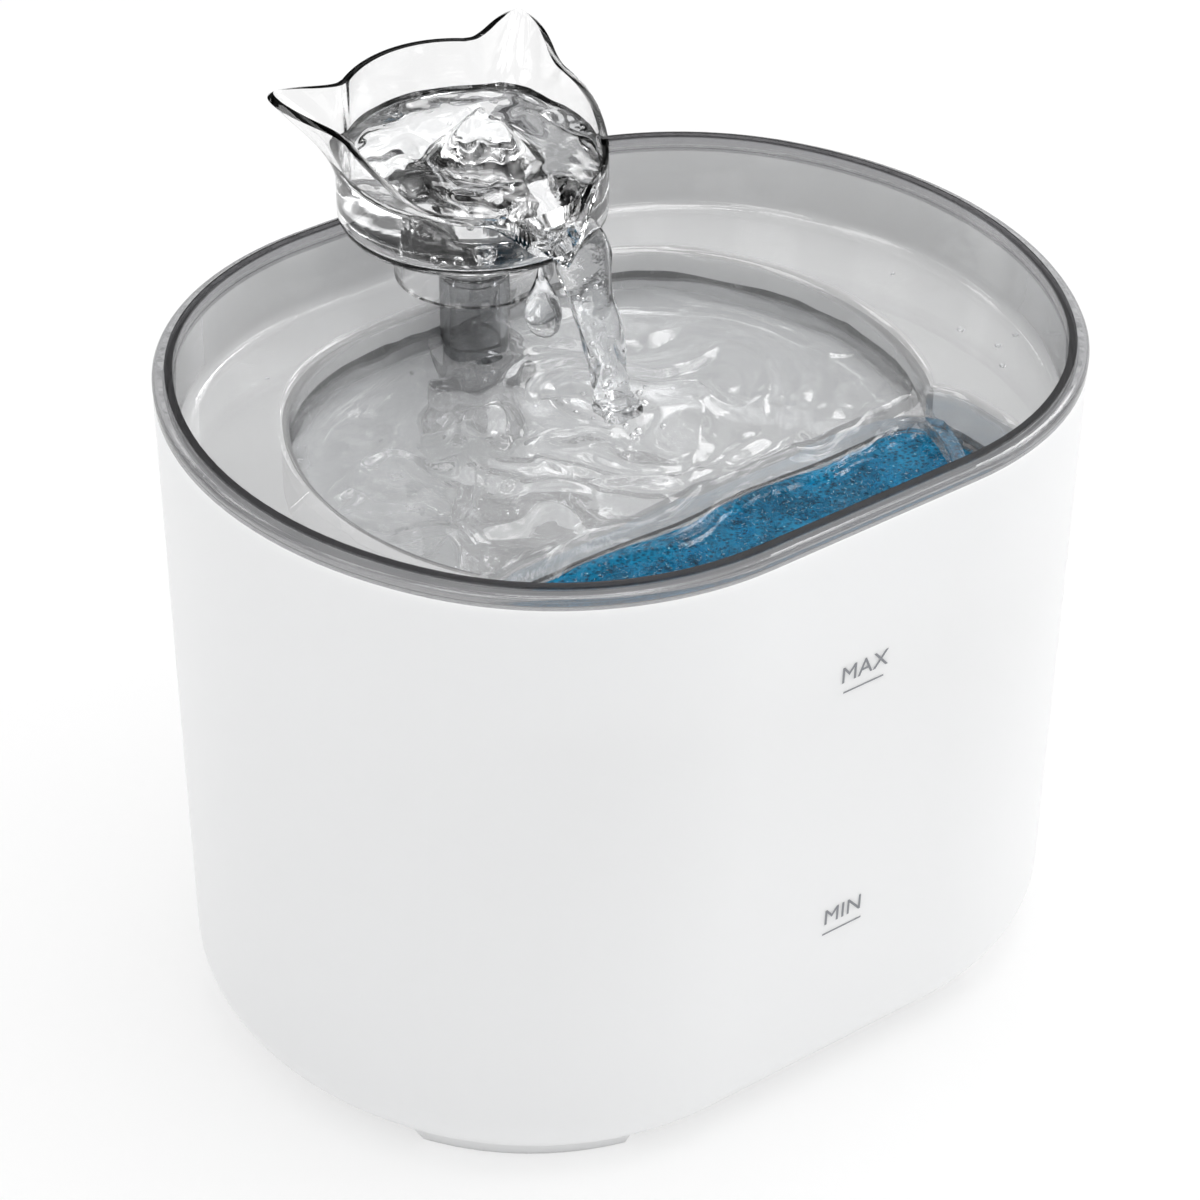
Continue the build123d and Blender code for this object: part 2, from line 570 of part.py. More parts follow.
def make_intake_cover():
    """Slotted cage that clips over the front of the chamber, with the gate's two rails."""
    cage = rod(CAGE_R, CAGE_FRONT, CAGE_BACK)
    cage = fillet(bottom_edges(cage, CAGE_FRONT), 2.0)
    cage -= rod(CAGE_BORE, CAGE_FRONT + CAGE_FACE, CAGE_BACK + 1)
    for i in range(GATE_SLOTS):
        y = (i - (GATE_SLOTS - 1) / 2) * 4.5
        cage -= Pos(ROTOR_Z - GATE_SLOT_Z, y, CAGE_FRONT) * Box(10.0, 2.4, 4)
    for i in range(12):
        side = Pos(CAGE_R, 0, (CAGE_FRONT + CHAMBER_FRONT) / 2) * Box(6, 2.0, 9.0)
        cage -= Rot(0, 0, 30 * i + 15) * side
    cage = along_x(cage)
    front, rail_foot, rail_top = CAGE_FRONT - 2.9, GATE_BOTTOM - GATE_TRAVEL - 0.3, GATE_TOP - 1.0
    for side in (-1, 1):
        inner = ROTOR_Y + side * (GATE_HALF + 0.3)
        outer = ROTOR_Y + side * (GATE_HALF + 2.3)
        lip = ROTOR_Y + side * (GATE_HALF - 1.2)
        cage += block(front, CAGE_FRONT + 1, min(inner, outer), max(inner, outer), rail_foot, rail_top)
        cage += block(front, front + 0.8, min(lip, outer), max(lip, outer), rail_foot, rail_top)
    stop = ROTOR_Y + GATE_HALF + 2.3
    cage += block(front, CAGE_FRONT + 1, 2 * ROTOR_Y - stop, stop, rail_foot - 1.6, rail_foot)
    return cage


def make_intake_sponge():
    sponge = rod(CAGE_BORE - 0.3, CAGE_FRONT + CAGE_FACE + 0.2, CHAMBER_FRONT - 1.0)
    return along_x(sponge)


def make_flow_gate():
    """Slides down between the rails and covers the inlet slots."""
    front = CAGE_FRONT - 1.8
    gate = block(front, CAGE_FRONT - 0.3, ROTOR_Y - GATE_HALF, ROTOR_Y + GATE_HALF, GATE_BOTTOM, GATE_TOP)
    tab = block(front - 2.4, front, ROTOR_Y - 4.5, ROTOR_Y + 4.5, GATE_TOP - 5.0, GATE_TOP - 3.2)
    return gate + tab


def make_suction_cups():
    profile = make_face(Polyline((0, TANK_FLOOR + 0.8), (SUCKER_R - 0.5, TANK_FLOOR), (SUCKER_R, TANK_FLOOR),
                                 (SUCKER_R, TANK_FLOOR + 0.7), (3.4, TANK_FLOOR + 2.0),
                                 (3.4, MOTOR_BOTTOM), (2.5, MOTOR_BOTTOM), (2.5, MOTOR_BOTTOM + 2.0),
                                 (0, MOTOR_BOTTOM + 2.0), (0, TANK_FLOOR + 0.8)))
    one = revolve(Plane.XZ * profile, axis=Axis.Z)
    return Compound(children=[Pos(x, y, 0) * one for x in SUCKER_X for y in SUCKER_Y])


def make_cable_gland():
    gland = rod(3.0, -3.0, 0.0) + rod(4.6, 0.0, 1.6)
    gland += Pos(0, 0, 1.6) * Cone(4.0, 2.9, 7.0, align=(Align.CENTER, Align.CENTER, Align.MIN))
    gland -= rod(CORD_R, -4, 10)
    return Pos(MOTOR_BACK, ROTOR_Y, GLAND_Z) * Rot(0, 90, 0) * gland


def make_pump_hose():
    """Silicone sleeve: narrow on the nozzle, opening into a socket for the riser."""
    wall, wide = 2.0, RISER_R + 0.3
    socket = RISER_BOTTOM - 4.0
    narrow = socket - 10.0
    outline = Polyline((NOZZLE_R, HOSE_BOTTOM), (NOZZLE_R + wall, HOSE_BOTTOM), (NOZZLE_R + wall, narrow - 1),
                       (wide + wall, socket - 1), (wide + wall, HOSE_TOP), (wide, HOSE_TOP),
                       (wide, socket), (NOZZLE_R, narrow), (NOZZLE_R, HOSE_BOTTOM))
    return Pos(0, AXIS_Y, 0) * revolve(Plane.XZ * make_face(outline), axis=Axis.Z)


PIECES = {
    "tank": make_tank,
    "foot_pads": make_foot_pads,
    "cord_grommet": make_cord_grommet,
    "tray": make_tray,
    "riser_tube": make_riser_tube,
    "neck_seal": make_neck_seal,
    "cup_collar": make_cup_collar,
    "spout_cup": make_spout_cup,
    "filter_frame": make_filter_frame,
    "filter_sponge": lambda: make_pad(CARBON_TOP, SPONGE_TOP),
    "carbon_pad": lambda: make_pad(POCKET_FLOOR + 4.2, CARBON_TOP),
    "pump_hose": make_pump_hose,
    "pump_housing": make_pump_housing,
    "pump_end_plate": make_pump_end_plate,
    "stator_core": make_stator_core,
    "stator_coil": make_stator_coil,
    "volute_cover": make_volute_cover,
    "volute_seal": make_volute_seal,
    "impeller": make_impeller,
    "rotor_magnet": make_rotor_magnet,
    "rotor_shaft": make_rotor_shaft,
    "front_bush": lambda: make_bush(CHAMBER_FRONT + 2.0, CHAMBER_FRONT + 4.6),
    "rear_bush": make_rear_bush,
    "intake_cover": make_intake_cover,
    "intake_sponge": make_intake_sponge,
    "flow_gate": make_flow_gate,
    "suction_cups": make_suction_cups,
    "cable_gland": make_cable_gland,
}


def main():
    os.makedirs("parts", exist_ok=True)
    for name, make in PIECES.items():
        piece = make()
        export_step(piece, f"parts/{name}.step")
        print(f"{name:16s} {piece.volume:12.1f} mm3")


main()
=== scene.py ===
import math
import random

import bmesh
import bpy
from mathutils import Matrix, Vector, noise


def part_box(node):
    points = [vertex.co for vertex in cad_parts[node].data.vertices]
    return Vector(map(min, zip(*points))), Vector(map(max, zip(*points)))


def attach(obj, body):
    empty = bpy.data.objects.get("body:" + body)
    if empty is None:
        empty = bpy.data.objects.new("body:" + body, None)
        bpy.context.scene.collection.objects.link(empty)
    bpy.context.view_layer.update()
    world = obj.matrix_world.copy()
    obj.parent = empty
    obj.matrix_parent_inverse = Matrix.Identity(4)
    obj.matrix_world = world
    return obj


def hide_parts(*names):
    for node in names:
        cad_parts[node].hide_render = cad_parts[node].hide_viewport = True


bl_info = {
    "name": "Pet water fountain finish",
    "version": (1, 0, 0),
    "blender": (4, 5, 0),
    "location": "3D View > Sidebar > Fountain",
    "description": "Water, filter sponge, level marks and finishes for a pet water fountain",
    "category": "Object",
}

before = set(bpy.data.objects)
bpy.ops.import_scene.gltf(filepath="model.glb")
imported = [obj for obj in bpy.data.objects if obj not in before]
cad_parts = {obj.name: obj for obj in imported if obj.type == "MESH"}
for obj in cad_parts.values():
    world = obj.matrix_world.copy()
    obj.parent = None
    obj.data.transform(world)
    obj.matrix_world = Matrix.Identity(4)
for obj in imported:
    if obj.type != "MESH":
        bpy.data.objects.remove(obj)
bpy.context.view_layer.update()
AXIS = Vector((0.0, 0.0532, 0.0))        # the riser, collar and cup stand on this line
SPONGE_LOW, SPONGE_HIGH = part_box("filter_sponge")
WELD = 1e-6                              # points closer than this become one
IMPACT = (0.0058, 0.0092, 0.130)         # where the stream meets the basin
COLOUR = dict(subtype="COLOR", size=3, min=0, max=1)
LENGTH = dict(unit="LENGTH")


# ---- settings
class FountainFinish(bpy.types.PropertyGroup):
    shell: bpy.props.FloatVectorProperty(
        name="Shell", description="Colour of the tank's gloss plastic",
        **COLOUR, default=(0.86, 0.865, 0.87))
    smoke: bpy.props.FloatVectorProperty(
        name="Smoke tint", description="Colour that thick clear plastic takes",
        **COLOUR, default=(0.42, 0.42, 0.43))
    smoke_depth: bpy.props.FloatProperty(
        name="Smoke depth",
        description="How fast the clear plastic darkens with thickness, per metre",
        min=0, max=600, default=36)
    tube: bpy.props.FloatVectorProperty(
        name="Riser tint", description="Colour of the darker riser tube",
        **COLOUR, default=(0.30, 0.31, 0.33))
    marks: bpy.props.FloatVectorProperty(
        name="Level marks", description="Ink of the level marks",
        **COLOUR, default=(0.24, 0.25, 0.27))


class FountainWater(bpy.types.PropertyGroup):
    basin_level: bpy.props.FloatProperty(
        name="Basin level", description="Height of the water in the bowl",
        **LENGTH, default=0.1302, min=0.12, max=0.135)
    pocket_level: bpy.props.FloatProperty(
        name="Pocket level", description="Height of the water over the filter",
        **LENGTH, default=0.1268, min=0.1246, max=0.13)
    cup_level: bpy.props.FloatProperty(
        name="Cup level", description="Height of the water in the spout cup",
        **LENGTH, default=0.1766, min=0.166, max=0.18)
    dome: bpy.props.FloatProperty(
        name="Dome", description="Height of the swell over the riser",
        **LENGTH, default=0.0085, min=0, max=0.012)
    ripple: bpy.props.FloatProperty(
        name="Ripple", description="Height of the basin's ripples",
        **LENGTH, default=0.0009, min=0, max=0.002)
    impact: bpy.props.FloatVectorProperty(
        name="Impact", description="Where the stream meets the basin",
        **LENGTH, subtype="XYZ", size=3, default=IMPACT)


class FountainSponge(bpy.types.PropertyGroup):
    # the deep blue is painted shade in the sponge's pores; darkened further it also tints random
    # patches
    deep: bpy.props.FloatVectorProperty(
        name="Deep blue", description="Colour in the sponge's pores",
        **COLOUR, default=(0.0008, 0.050, 0.105))
    bright: bpy.props.FloatVectorProperty(
        name="Bright blue", description="Colour of the sponge's fibres",
        **COLOUR, default=(0.002, 0.255, 0.47))
    fibres: bpy.props.IntProperty(
        name="Fibres", description="How many fibres stand out of the top",
        default=5200, min=0, max=9000)
    length: bpy.props.FloatProperty(
        name="Fibre length", description="Length of one fibre",
        **LENGTH, default=0.0026, min=0.0005, max=0.006)
    seed: bpy.props.IntProperty(name="Seed", description="Seed of the fibres", default=7)


class FountainStage(bpy.types.PropertyGroup):
    reach: bpy.props.FloatProperty(
        name="Floor", description="Radius of the studio floor",
        **LENGTH, default=4.0, min=1, max=20)
    sky: bpy.props.FloatProperty(
        name="Sky", description="Strength of the studio's soft light",
        default=0.80, min=0, max=3)
    lens: bpy.props.FloatProperty(
        name="Lens", description="Focal length of the camera, in millimetres",
        default=130.593, min=20, max=300)


GROUPS = {"finish": FountainFinish, "water": FountainWater, "sponge": FountainSponge,
          "stage": FountainStage}


def setting(group):
    return getattr(bpy.context.scene, "fountain_" + group)


# ---- shader nodes
class Wire:
    """A value on its way between two shader nodes. Sums on it add Math nodes."""

    def __init__(self, finish, socket):
        self.finish, self.socket = finish, socket

    def maths(self, operation, *values):
        return self.finish.node("Math", dict(enumerate(values)), operation=operation)

    def __add__(self, other):
        return self.maths("ADD", self, other)

    __radd__ = __add__

    def __sub__(self, other):
        return self.maths("SUBTRACT", self, other)

    def __rsub__(self, other):
        return self.maths("SUBTRACT", other, self)

    def __mul__(self, other):
        return self.maths("MULTIPLY", self, other)

    __rmul__ = __mul__


class Finish:
    """The node tree of one material, or of the studio's sky."""

    def __init__(self, owner):
        owner.use_nodes = True
        self.owner = owner
        self.tree = owner.node_tree
        self.tree.nodes.clear()

    def node(self, kind, inputs=None, out=0, **settings):
        """A new shader node, as the wire from one of its outputs."""
        made = self.tree.nodes.new("ShaderNode" + kind)
        for key, value in settings.items():
            setattr(made, key, value)
        for key, value in (inputs or {}).items():
            socket = made.inputs[key]
            if isinstance(value, Wire):
                self.tree.links.new(value.socket, socket)
            else:
                socket.default_value = shade(value) if socket.type == "RGBA" else value
        return Wire(self, made.outputs[out])

    def place(self, scale=(1, 1, 1)):
        """The piece's own coordinates, in metres, times scale."""
        coords = self.node("TexCoord", out="Object")
        return self.node("Mapping", {"Vector": coords, "Scale": scale})

    def part(self, vector, axis):
        """One axis of a vector."""
        return self.node("SeparateXYZ", {0: vector}, out=axis)

    def ray(self, kind):
        """1 for rays of one kind, 0 for the rest."""
        return self.node("LightPath", out=kind)

    def surface(self, colour, rough, normal, others=None):
        """The Principled shader; others holds its further sockets."""
        return self.node("BsdfPrincipled", {
            "Base Color": colour, "Roughness": rough, "Normal": normal, **(others or {})})

    def grain(self, size, detail=2, roughness=0.5, stretch=(1, 1, 1), distortion=0.0):
        """Noise whose blobs are about size metres wide."""
        return self.node("TexNoise", {
            "Vector": self.place(tuple(s / size for s in stretch)), "Scale": 1.0,
            "Detail": detail, "Roughness": roughness, "Distortion": distortion}, out="Fac")

    def cells(self, size):
        """Distance to the nearest of many points, about size metres apart."""
        return self.node("TexVoronoi", {
            "Vector": self.place((1 / size,) * 3), "Scale": 1.0}, out="Distance")

    def stripes(self, axis, size, distortion):
        """Bands across an axis."""
        return self.node("TexWave", {
            "Vector": self.place((1 / size,) * 3), "Scale": 1.0, "Distortion": distortion,
            "Detail": 2.0}, out="Fac", bands_direction=axis)

    def lit_through(self, glass, tint):
        """The same glass, but it lets lamps and soft light through to what lies behind."""
        open_way = self.node("BsdfTransparent", {0: tint})
        for kind in ("Is Shadow Ray", "Is Diffuse Ray"):
            glass = self.blend(self.ray(kind), glass, open_way)
        return glass

    def blend(self, share, first, second):
        """One shader over another."""
        return self.node("MixShader", {0: share, 1: first, 2: second})

    def spread(self, value, low, high, to_low=0.0, to_high=1.0):
        """Stretches low to high over to_low to to_high, and holds there at both ends."""
        return self.node("MapRange", {
            "Value": value, "From Min": low, "From Max": high,
            "To Min": to_low, "To Max": to_high})

    def span(self, value, low=0.0, high=1.0):
        """Noise mostly lies between 0.3 and 0.7; this brings it to low to high."""
        return self.spread(value, 0.3, 0.7, low, high)

    def mix(self, share, first, second, blend="MIX"):
        return self.node("Mix", {0: share, 6: first, 7: second}, out=2,
                         data_type="RGBA", blend_type=blend)

    def greys(self, share, *stops):
        """A ramp of greys from (place, level) stops, of which the first stands at 0."""
        ramp = self.node("ValToRGB", {0: share})
        points = ramp.socket.node.color_ramp.elements
        points.remove(points[1])
        for place, level in stops:
            point = points.new(place) if place else points[0]
            point.color = shade((level,) * 3)
        return ramp

    def bump(self, height, deep, strength=1.0, under=None):
        """A Bump node whose full height is deep metres."""
        wires = {"Height": height, "Distance": deep, "Strength": strength}
        if under is not None:
            wires["Normal"] = under
        return self.node("Bump", wires)

    def end(self, surface, volume=None):
        """Wires up the output, and returns the material or the sky."""
        kind = "World" if isinstance(self.owner, bpy.types.World) else "Material"
        wires = {"Surface": surface}
        if volume is not None:
            wires["Volume"] = volume
        made = self.tree.nodes.new("ShaderNodeOutput" + kind)
        for key, value in wires.items():
            self.tree.links.new(value.socket, made.inputs[key])
        return self.owner


def shade(colour):
    return tuple(colour) if len(colour) == 4 else (*colour, 1.0)


def darker(colour, share):
    return tuple(c * share for c in colour)


def start(name):
    return Finish(bpy.data.materials.new(name))


# ---- finishes
def gloss_shell(name, colour):
    """Injection moulded gloss plastic, thin enough to glow: faint flow clouds and orange peel."""
    f = start(name)
    clouds = f.grain(0.09, 2, 0.5)
    tone = f.mix(f.span(clouds), darker(colour, 0.992), colour)
    peel = f.grain(0.0016, 2, 0.4)
    rubbed = f.grain(0.0045, 3, 0.5)
    return f.end(f.surface(
        tone, f.span(rubbed, 0.30, 0.33), f.bump(peel, 0.000008, 0.3),
        {"IOR": 1.5, "Coat Weight": 0.15, "Coat Roughness": 0.2, "Subsurface Weight": 1.0,
         "Subsurface Radius": (1, 1, 1), "Subsurface Scale": 0.003}))


def smoke_plastic(name, tint, depth, haze=0.0, edge=0.6, rim=None):
    """Smoke-tinted plastic: darkens with thickness, and has painted shade where it's seen edge on;
    soft mould waves, fine rubbing. Haze is the share of light that its cloudiness scatters. Above
    the height rim the solid bead gets a painted dark line, and just below it a painted grey band."""
    f = start(name)
    waves = f.grain(0.018, 2, 0.4)
    rub = f.grain(0.004, 5, 0.65, (1, 1, 0.4))
    clear = f.mix(f.span(waves), (0.955,) * 3, (0.985,) * 3)
    # painted shade: the bead above rim is coloured nearly black, and the 3 mm just below it grey,
    # for the dark rim line
    if rim:
        height = f.part(f.place(), "Z")
        clear = f.mix(f.spread(height, rim - 0.0034, rim - 0.0030), clear, (0.44, 0.44, 0.45))
        clear = f.mix(f.spread(height, rim, rim + 0.0003), clear, (0.035, 0.034, 0.037))
    # painted shade: where the surface is seen edge on, from the facing share edge up, its colour
    # darkens to a fraction of the tint
    painted_edge_shade = f.node("LayerWeight", {"Blend": 0.5}, out="Facing")
    glass = f.surface(
        f.mix(f.spread(painted_edge_shade, edge, 0.97), clear, darker(tint, 0.16)),
        f.spread(rub, 0.45, 0.85, 0.0, 0.045), f.bump(waves, 0.00002, 0.6),
        {"Transmission Weight": 1.0 - haze, "IOR": 1.47})
    return f.end(f.lit_through(glass, tuple(c ** (depth * 0.0012) for c in tint)),
                 f.node("VolumeAbsorption", {"Color": tint, "Density": depth}))


def water(name, wave, size):
    """Moving water: clear, with small ripples on top of the modelled ones."""
    f = start(name)
    wavelets = f.grain(size, 3, distortion=0.6)
    clear = f.surface((0.985, 0.99, 0.995), 0.0, f.bump(wavelets, wave),
                      {"Transmission Weight": 1.0, "IOR": 1.333})
    return f.end(f.lit_through(clear, (0.97, 0.975, 0.98)))


def air(name):
    """The skin of a bubble, as seen from the water round it."""
    f = start(name)
    sway = f.grain(0.002, 2)
    return f.end(f.lit_through(f.surface(
        (1.0, 1.0, 1.0), f.span(sway, 0.0, 0.01), f.bump(sway, 0.00002),
        {"Transmission Weight": 1.0, "IOR": 0.76}), (0.99, 0.99, 0.99)))


def soft_clear(name, tint):
    """Milky silicone."""
    f = start(name)
    haze = f.grain(0.006, 3, 0.5)
    return f.end(f.surface(
        f.mix(f.span(haze), darker(tint, 0.94), tint), f.spread(haze, 0.2, 0.8, 0.28, 0.42),
        f.bump(f.grain(0.0009, 2), 0.00002, 0.4),
        {"Transmission Weight": 0.55, "IOR": 1.42}))


def moulded(name, colour, shine=(0.42, 0.56), size=0.0009, deep=0.00003):
    """Matt moulded plastic or rubber with a fine spark-eroded texture."""
    f = start(name)
    clouds = f.grain(0.02, 4, 0.6)
    texture = f.grain(size, 3, 0.6)
    return f.end(f.surface(
        f.mix(f.span(clouds), darker(colour, 0.88), colour), f.span(texture, *shine),
        f.bump(texture, deep, 0.6)))


def foam(name, deep, bright, pore=0.0011, wet=0.12):
    """Wet open-pored foam: painted shade in the pores, lighter walls, painted glints of water."""
    f = start(name)
    pores = f.cells(pore)
    threads = f.grain(pore * 1.6, 4, 0.7, (1, 1, 0.25), 1.2)
    patch = f.grain(0.011, 3, 0.6)
    # painted shade: the deep colour fills the pore hollows, the bright one the walls
    tone = f.mix(f.spread(pores, 0.15, 0.6), deep, bright)
    tone = f.mix(f.spread(patch, 0.35, 0.7, 0.0, 0.55), tone, darker(deep, 0.55))
    # painted glints: pale cyan spots at scattered points stand in for light catching the wet foam
    painted_glint_mask = f.spread(f.cells(pore * 2.4), 0.11, 0.05)
    tone = f.mix(painted_glint_mask, tone, (0.35, 0.72, 0.86))
    relief = f.bump(pores, 0.0005, 0.7, f.bump(threads, 0.0006, 0.8))
    return f.end(f.surface(
        tone, f.span(threads, 0.22, 0.6), relief,
        {"Coat Weight": wet, "Coat Roughness": 0.12, "Specular IOR Level": 0.2}))


def painted_glint_finish(name):
    """The few fibres that show a painted glint: their colour is pale cyan to white."""
    f = start(name)
    sheen = f.grain(0.004, 2)
    return f.end(f.surface(
        f.mix(sheen, (0.35, 0.72, 0.88), (0.95, 0.98, 1.0)), 0.12, f.bump(sheen, 0.0001),
        {"Coat Weight": 1.0}))


def carbon_felt(name):
    """White felt with dark carbon granules showing through it."""
    f = start(name)
    granules = f.spread(f.cells(0.0024), 0.42, 0.3)
    fibre = f.grain(0.0007, 4, 0.7, (1, 0.3, 1), 1.5)
    tone = f.mix(granules * 0.85, (0.55, 0.56, 0.56), (0.03, 0.03, 0.033))
    return f.end(f.surface(
        tone, f.span(fibre, 0.6, 0.95),
        f.bump(granules, 0.0004, 0.6, f.bump(fibre, 0.0002, 0.6))))


def stacked_steel(name):
    """Edges of a stack of varnished steel sheets."""
    f = start(name)
    sheets = f.stripes("X", 0.0032, 0.4)
    stain = f.grain(0.006, 4, 0.6)
    return f.end(f.surface(
        f.mix(sheets, (0.13, 0.13, 0.135), (0.36, 0.36, 0.37)), f.span(stain, 0.32, 0.55),
        f.bump(sheets, 0.0001, 0.6),
        {"Metallic": 0.9}))


def wound_copper(name):
    """Varnished copper wire lying in even turns."""
    f = start(name)
    turns = f.stripes("Z", 0.003, 0.2)
    return f.end(f.surface(
        f.mix(turns, (0.20, 0.055, 0.02), (0.62, 0.26, 0.11)),
        f.span(f.grain(0.004), 0.2, 0.35), f.bump(turns, 0.0002, 0.8),
        {"Metallic": 0.85, "Coat Weight": 0.5}))


def ground_steel(name):
    """Ground stainless shaft: fine rings round it."""
    f = start(name)
    rings = f.grain(0.0007, 3, 0.6, (4, 0.2, 0.2))
    return f.end(f.surface(
        f.mix(rings, (0.50, 0.50, 0.51), (0.72, 0.72, 0.73)), f.span(rings, 0.14, 0.3),
        f.bump(rings, 0.00001, 0.5),
        {"Metallic": 1.0}))


def print_ink(name, ink):
    """Pad-printed ink, slightly worn."""
    f = start(name)
    worn = f.grain(0.0012, 4, 0.6)
    return f.end(f.surface(
        f.mix(f.spread(worn, 0.2, 0.8), darker(ink, 0.85), ink), f.span(worn, 0.3, 0.45),
        f.bump(worn, 0.000004)))


# ---- modelling
def bake(name, bm, smooth=False):
    """Turns the finished bmesh into a mesh."""
    for face in bm.faces:
        face.smooth = smooth
    mesh = bpy.data.meshes.new(name)
    bm.to_mesh(mesh)
    bm.free()
    return mesh


def link(name, data):
    """A new object in the scene."""
    thing = bpy.data.objects.new(name, data)
    bpy.context.scene.collection.objects.link(thing)
    return thing


def put(name, bm, finishes, body, smooth=True):
    """Makes the finished bmesh an object that rides on a body."""
    bmesh.ops.recalc_face_normals(bm, faces=bm.faces)
    mesh = bake(name, bm, smooth)
    piece = link(name, mesh)
    for one in finishes if isinstance(finishes, tuple) else (finishes,):
        mesh.materials.append(one)
    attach(piece, body)
    return piece


def coat(finish, *nodes):
    """Gives CAD nodes their finish."""
    for node in nodes:
        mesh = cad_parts[node].data
        mesh.materials.clear()
        mesh.materials.append(finish)


def spun(profile, steps):
    """A bmesh spun round the Z axis from a row of (radius, height) points."""
    bm = bmesh.new()
    row = [bm.verts.new((r, 0, z)) for r, z in profile]
    edges = [bm.edges.new(pair) for pair in zip(row, row[1:])]
    bmesh.ops.spin(bm, geom=row + edges, cent=(0, 0, 0), axis=(0, 0, 1), angle=math.tau,
                   steps=steps, use_merge=True)
    bmesh.ops.remove_doubles(bm, verts=bm.verts, dist=WELD)
    return bm


def disc(rings, spokes):
    """A unit disc."""
    return spun([(k / rings, 0) for k in range(rings + 1)], spokes)


def farthest(held, high, rounds):
    """The largest r up to high for which held(r) is true."""
    low = 0.0
    for _ in range(rounds):
        r = (low + high) / 2
        low, high = (r, high) if held(r) else (low, r)
    return low


def around(centre, r, angle):
    """The point that lies r from centre, in that direction."""
    return centre[0] + r * math.cos(angle), centre[1] + r * math.sin(angle)


def pour(bm, centre, reach, top, walls):
    """Turns a unit disc into a closed body. reach(angle) is the outline, top(x, y) the
    surface, and walls a list of (height or function, inset) rows down to the bottom."""
    for v in bm.verts:
        share = math.hypot(v.co.x, v.co.y)
        angle = math.atan2(v.co.y, v.co.x)
        x, y = around(centre, share * reach(angle), angle)
        v.co = (x, y, top(x, y))
    edge = [e for e in bm.edges if e.is_boundary]
    for height, inset in walls:
        new = bmesh.ops.extrude_edge_only(bm, edges=edge)["geom"]
        edge = [g for g in new if isinstance(g, bmesh.types.BMEdge) and g.is_boundary]
        for v in {v for e in edge for v in e.verts}:
            angle = math.atan2(v.co.y - centre[1], v.co.x - centre[0])
            x, y = around(centre, reach(angle, inset), angle)
            v.co = (x, y, height(x, y) if callable(height) else height)
    bmesh.ops.contextual_create(bm, geom=edge)
    bmesh.ops.triangulate(bm, faces=[f for f in bm.faces if len(f.verts) > 4])


def smoothstep(low, high, value):
    t = min(1.0, max(0.0, (value - low) / (high - low)))
    return t * t * (3 - 2 * t)


def wobble(x, y, size, seed=0.0, z=0.0):
    return noise.noise(Vector((x / size + seed, y / size - seed, z / size + 1.7 * seed)))


# ---- outlines
BOWL = dict(width=0.137, depth=0.113, corner=0.042, turn=math.radians(56))
BOWL_MIDDLE = 0.0045
WEIR = -0.0242
POCKET_HALF, POCKET_FRONT, POCKET_CORNER = 0.062, -0.066, 0.016
BOWL_FLOOR, POCKET_FLOOR, RING_FLOOR = 0.1143, 0.1033, 0.1360
BEAD_FOOT = 0.1533                       # the tray's solid bead starts at this height


def in_racetrack(x, y, grow, width, depth, corner, turn):
    """Is a point inside an outline with flat sides, round corners and rounder ends?"""
    x, y = abs(x), abs(y)
    end = corner - (corner - depth / 2) / math.cos(turn)
    far = width / 2 - end
    flat = far - (corner - end) * math.sin(turn)
    high = depth / 2 - corner
    if x <= flat:
        return y <= depth / 2 + grow
    if math.atan2(x - flat, y - high) <= turn:
        return math.hypot(x - flat, y - high) <= corner + grow
    return math.hypot(x - far, y) <= end + grow


def in_pocket(x, y, grow):
    x = abs(x)
    if x <= POCKET_HALF - POCKET_CORNER or y >= POCKET_FRONT + POCKET_CORNER:
        return x <= POCKET_HALF + grow and y >= POCKET_FRONT - grow
    across, ahead = x - POCKET_HALF + POCKET_CORNER, y - POCKET_FRONT - POCKET_CORNER
    return math.hypot(across, ahead) <= POCKET_CORNER + grow


def basin_reach(angle, inset=-0.0005):
    """How far the bowl and pocket reach from the middle of the basin, in that direction."""
    def held(r):
        x, y = r * math.cos(angle), r * math.sin(angle)
        if y >= WEIR - 0.001:
            return in_racetrack(x, y - BOWL_MIDDLE, -inset, **BOWL)
        return in_pocket(x, y, -inset)

    return farthest(held, 0.12, 26)


# ---- pieces
def basin_top(w):
    """The basin's surface: rings round the impact, chop, and the fall over the weir."""
    ix, iy = w.impact[0], w.impact[1]

    def height(x, y):
        r = math.hypot(x - ix, y - iy)
        rings = math.sin(r / 0.0019 - 7.0 * wobble(x, y, 0.022, 2.0)) * math.exp(-r / 0.034) * 1.3
        # chop and sharp crests, roughest to the left of the impact
        near = 0.40 + 0.85 * math.exp(-(math.hypot(x + 0.018, y - 0.006) / 0.040) ** 2)
        bend = 0.005 * wobble(x, y, 0.012, 3.0)
        chop = 1.5 * wobble(x + bend, y, 0.014, 5.0) + 0.9 * wobble(x, y + bend, 0.0072, 9.0)
        crest = (1 - min(1.0, abs(wobble(x + bend, y + bend, 0.019, 31.0)) * 3.4)) ** 2
        z = w.basin_level + w.ripple * (rings + near * (chop + 1.1 * crest))
        z += 0.0010 * math.exp(-(r / 0.0065) ** 2)
        # the wavy line where the water tips over the weir, its lip and the ridge behind it
        line = -0.0287 + 0.0040 * wobble(x, 0, 0.021, 3.0) + 0.0016 * wobble(x, 0, 0.008, 6.0)
        fall = 1 - smoothstep(line - 0.0018, line + 0.0010, y)
        pocket = w.pocket_level + 0.0004 * wobble(x, y, 0.016, 12.0)
        lip = 0.0006 * math.exp(-((y - line - 0.0022) / 0.0016) ** 2)
        behind = y - line + 0.0050 + 0.0015 * wobble(x, 0, 0.010, 8.0)
        wake = 0.0003 * math.exp(-(behind / 0.0014) ** 2)
        return z + (pocket + wake - z) * fall + lip

    return height


